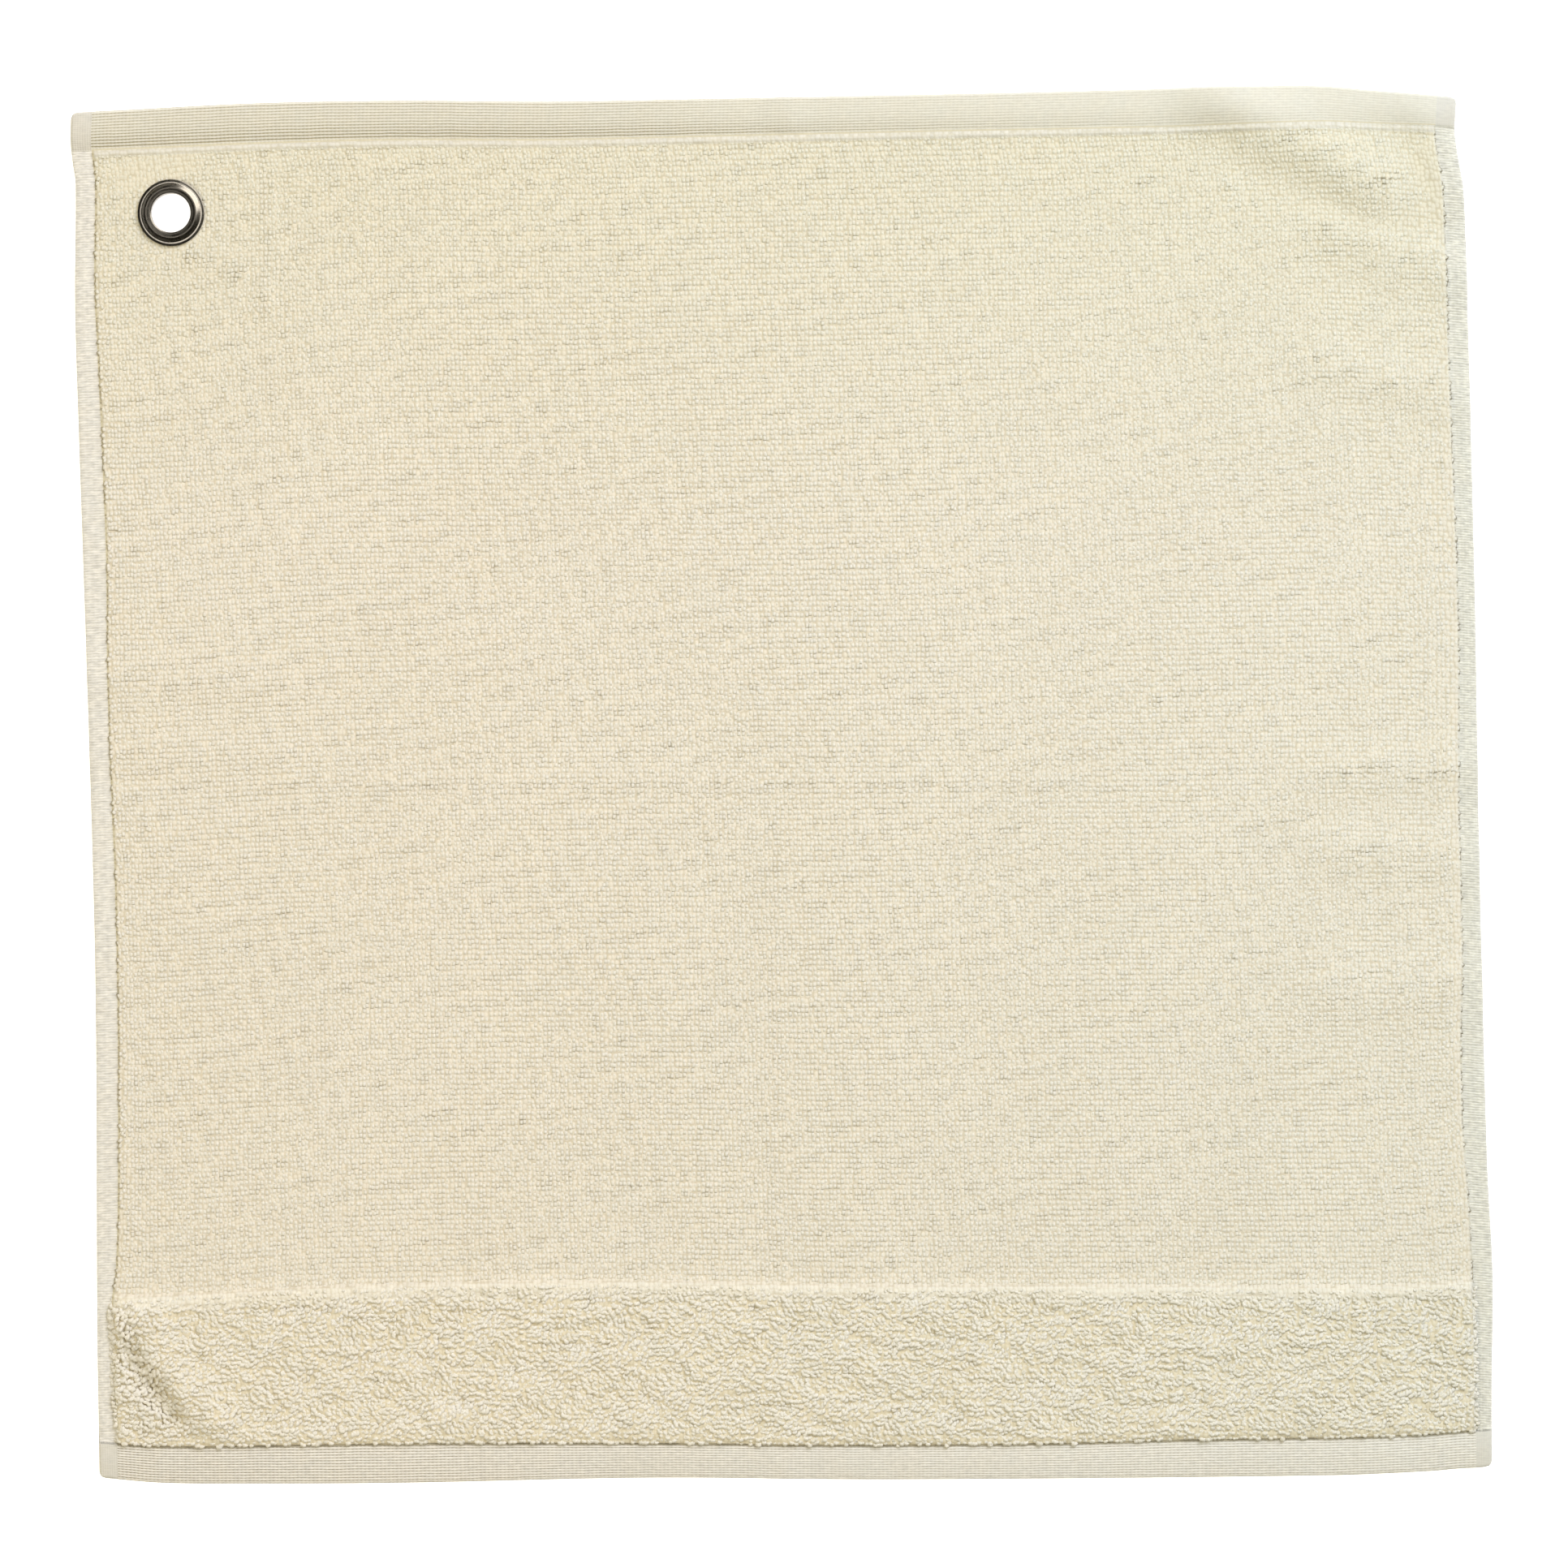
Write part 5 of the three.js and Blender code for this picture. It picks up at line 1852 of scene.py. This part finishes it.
@dataclass
class Studio:
    """The pale floor, the soft lights and the camera straight above."""

    photo: int = 1932
    pixel: float = 0.2915
    centre_x: float = 0.73
    centre_y: float = 0.29
    distance: float = 2.4
    sensor: float = 36.0
    lamps: tuple[Lamp, ...] = (
        Lamp("key", (1.3, 1.6, 2.1), 2.2, 74.0, (0.975, 0.998, 1.13), mirrored=False),
        Lamp("fill", (-1.4, -0.6, 2.5), 2.2, 31.5, (1.0, 0.935, 0.76), mirrored=False),
        Lamp("window", (1.6, 1.75, 1.05), 3.0, 105.0, (1.0, 0.98, 0.94), lights_cloth=False),
        Lamp("ceiling", (-0.36, 0.34, 3.4), 1.2, 4.2, (1.0, 0.97, 0.92), lights_cloth=False),
    )
    sky_colour: Colour = (1.0, 0.928, 0.73)
    sky_light: float = 0.387
    sky_mirrored: float = 0.03
    floor_half: float = 4000.0
    floor_drop: float = 0.4
    floor_colour: Colour = (0.93, 0.93, 0.93)
    floor_rough: float = 0.9
    floor_glow: float = 0.75

    def sky(self) -> bpy.types.World:
        """Makes the even light from all round, which the metal mirrors only dimly."""
        world = bpy.data.worlds.new("studio")
        world.use_nodes = True
        tree = NodeTree(world.node_tree)
        glossy = tree.add("ShaderNodeLightPath").outputs["Is Glossy Ray"]
        sky = tree.add("ShaderNodeBackground", {
            "Color": (*self.sky_colour, 1.0),
            "Strength": tree.ramp(glossy, 0.0, 1.0, self.sky_light, self.sky_mirrored),
        })
        tree.add("ShaderNodeOutputWorld", {"Surface": sky.outputs[0]})
        return world

    def camera(self) -> bpy.types.Object:
        """Makes the camera, which sees as much as the photo shows, and adds it to the scene."""
        camera = bpy.data.cameras.new("camera")
        camera.sensor_width = self.sensor
        camera.lens = self.sensor * self.distance / (self.photo * self.pixel * MM)
        stand = bpy.data.objects.new("camera", camera)
        stand.location = (self.centre_x * MM, self.centre_y * MM, self.distance)
        bpy.context.scene.collection.objects.link(stand)
        return stand

    def floor(self) -> None:
        """Makes the pale floor, which glows a little, just under the towel, and stages it."""
        half, low = self.floor_half, -self.floor_drop
        corners = [(-half, -half, low), (half, -half, low), (half, half, low), (-half, half, low)]
        material = bpy.data.materials.new("pale_floor")
        material.use_nodes = True
        tree = NodeTree(material.node_tree)
        shader = tree.add("ShaderNodeBsdfPrincipled", {
            "Base Color": (*self.floor_colour, 1.0), "Roughness": self.floor_rough,
            "Emission Color": (*WHITE, 1.0), "Emission Strength": self.floor_glow,
        })
        tree.add("ShaderNodeOutputMaterial", {"Surface": shader.outputs[0]})
        new_piece("floor", corners, [(0, 1, 2, 3)], [material])

    def build(self) -> None:
        """Makes the stage."""
        scene = bpy.context.scene
        scene.view_settings.view_transform = "Standard"
        scene.camera = self.camera()
        scene.world = self.sky()
        for lamp in self.lamps:
            lamp.hang()
        self.floor()


@dataclass
class Towel:
    """The whole towel: its finishes, its pieces and how they stand for the solids."""

    weave: Weave = field(default_factory=lambda: Weave(Lay()))
    cream: Colour = (0.79, 0.722, 0.595)
    # The colour of the gaps between the short loops: painted shade.
    gap: Colour = (0.66, 0.58, 0.43)
    top: Colour = (0.962, 0.975, 0.925)

    def finishes(self) -> dict[str, bpy.types.Material]:
        """Makes every cotton finish."""
        finishes = {
            "terry": TerryFinish("terry_loops", self.cream, self.gap, relief=0.22, top_side=self.top),
            # The ground under the long loops is darker and ochre: painted shade in the gaps between them.
            "ground": TerryFinish("loop_ground_painted_shade", (0.74, 0.66, 0.49), (0.63, 0.545, 0.375), relief=0.2),
            "hem": RibFinish("hem_ribs", (0.72, 0.68, 0.575), (0.44, 0.385, 0.25), relief=0.2),
            "low_hem": RibFinish("low_hem_ribs", (0.785, 0.74, 0.652), (0.37, 0.315, 0.22),
                                 relief=0.2, grain=0.1),
            "selvedge": RibFinish("selvedge_ribs", (0.75, 0.715, 0.645), (0.66, 0.62, 0.53),
                                  rib_pitch=0.93, relief=0.07, grain=0.17),
            # The right selvedge's colour is a little darker and yellower than the left one's: painted
            # shade of the light's fall across the towel.
            "right_selvedge": RibFinish("right_selvedge_ribs", (0.728, 0.694, 0.603),
                                        (0.645, 0.612, 0.505), rib_pitch=0.93, relief=0.12, grain=0.18),
            "corner": RibFinish("folded_corner", (0.67, 0.635, 0.555), (0.605, 0.565, 0.475),
                                rib_pitch=0.7, thread_pitch=0.8, thread_share=0.5, relief=0.06),
            "roll": TerryFinish("brushed_roll", (0.725, 0.685, 0.585), (0.66, 0.61, 0.48), relief=0.15),
            # The ridge is lighter than the cream: painted light on the upright loops.
            "ridge": TerryFinish("brushed_ridge_painted_light", (0.815, 0.76, 0.635), (0.72, 0.65, 0.51), relief=0.2),
            # A dark finish for the seam and the left edge of the pile: painted shade.
            "groove": RibFinish("groove_painted_shade", (0.66, 0.595, 0.43), (0.56, 0.49, 0.32),
                                rib_pitch=2.4, relief=0.1),
            # A dark finish where the bottom hem meets the band: painted shadow under the long loops.
            "low_gap": RibFinish("painted_shadow_under_pile", (0.53, 0.46, 0.32), (0.45, 0.38, 0.25),
                                 rib_pitch=2.4, relief=0.1),
            # Both yarns darken towards the foot of each loop: painted shade.
            "yarn": YarnFinish("long_loop_yarn", (0.812, 0.765, 0.667), (0.782, 0.73, 0.615)),
            "short": YarnFinish("short_loop_yarn", (0.784, 0.739, 0.643), (0.754, 0.706, 0.596),
                                foot=(0.53, 0.435, 0.24), top_side=self.top),
        }
        return {name: finish.make() for name, finish in finishes.items()}

    def settle(self, piece: bpy.types.Object) -> None:
        """Lets a piece ride with the towel and reports it."""
        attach(piece, BODY)
        LOG.info("%s: %d faces", piece.name, len(piece.data.polygons))

    def build(self) -> None:
        """Builds and declares every piece."""
        finishes = self.finishes()
        sheet = ClothSheet(self.weave, finishes).build()
        field_loops = FieldPile(self.weave, PillowTree("short_loops"), finishes["short"]).build()
        band_loops = BandPile(self.weave, LoopTree("long_loops"), finishes["yarn"]).build()
        # The ledge's nickel is made far lighter than the dome's: painted sheen of the lamps and the cream
        # cloth.
        wear_and_sheen = NickelFinish("ledge_nickel_painted_sheen", base=(0.93, 0.86, 0.74), wear_and_sheen=(0.98, 0.92, 0.82),
                            rough_low=0.2, rough_high=0.28)
        flange, washer = Eyelet(self.weave, NickelFinish().make(), wear_and_sheen.make()).build()
        for piece in (sheet, *field_loops, *band_loops):
            self.settle(piece)
        for piece in (flange, washer):
            self.settle(piece)
        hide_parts("terry_cloth", "eyelet_strip")
        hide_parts("eyelet_flange")
        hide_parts("eyelet_washer")


def main() -> None:
    """Builds the studio and the towel."""
    logging.basicConfig(level=logging.INFO, format="%(name)s: %(message)s")
    Studio().build()
    Towel().build()


if __name__ == "__main__":
    main()
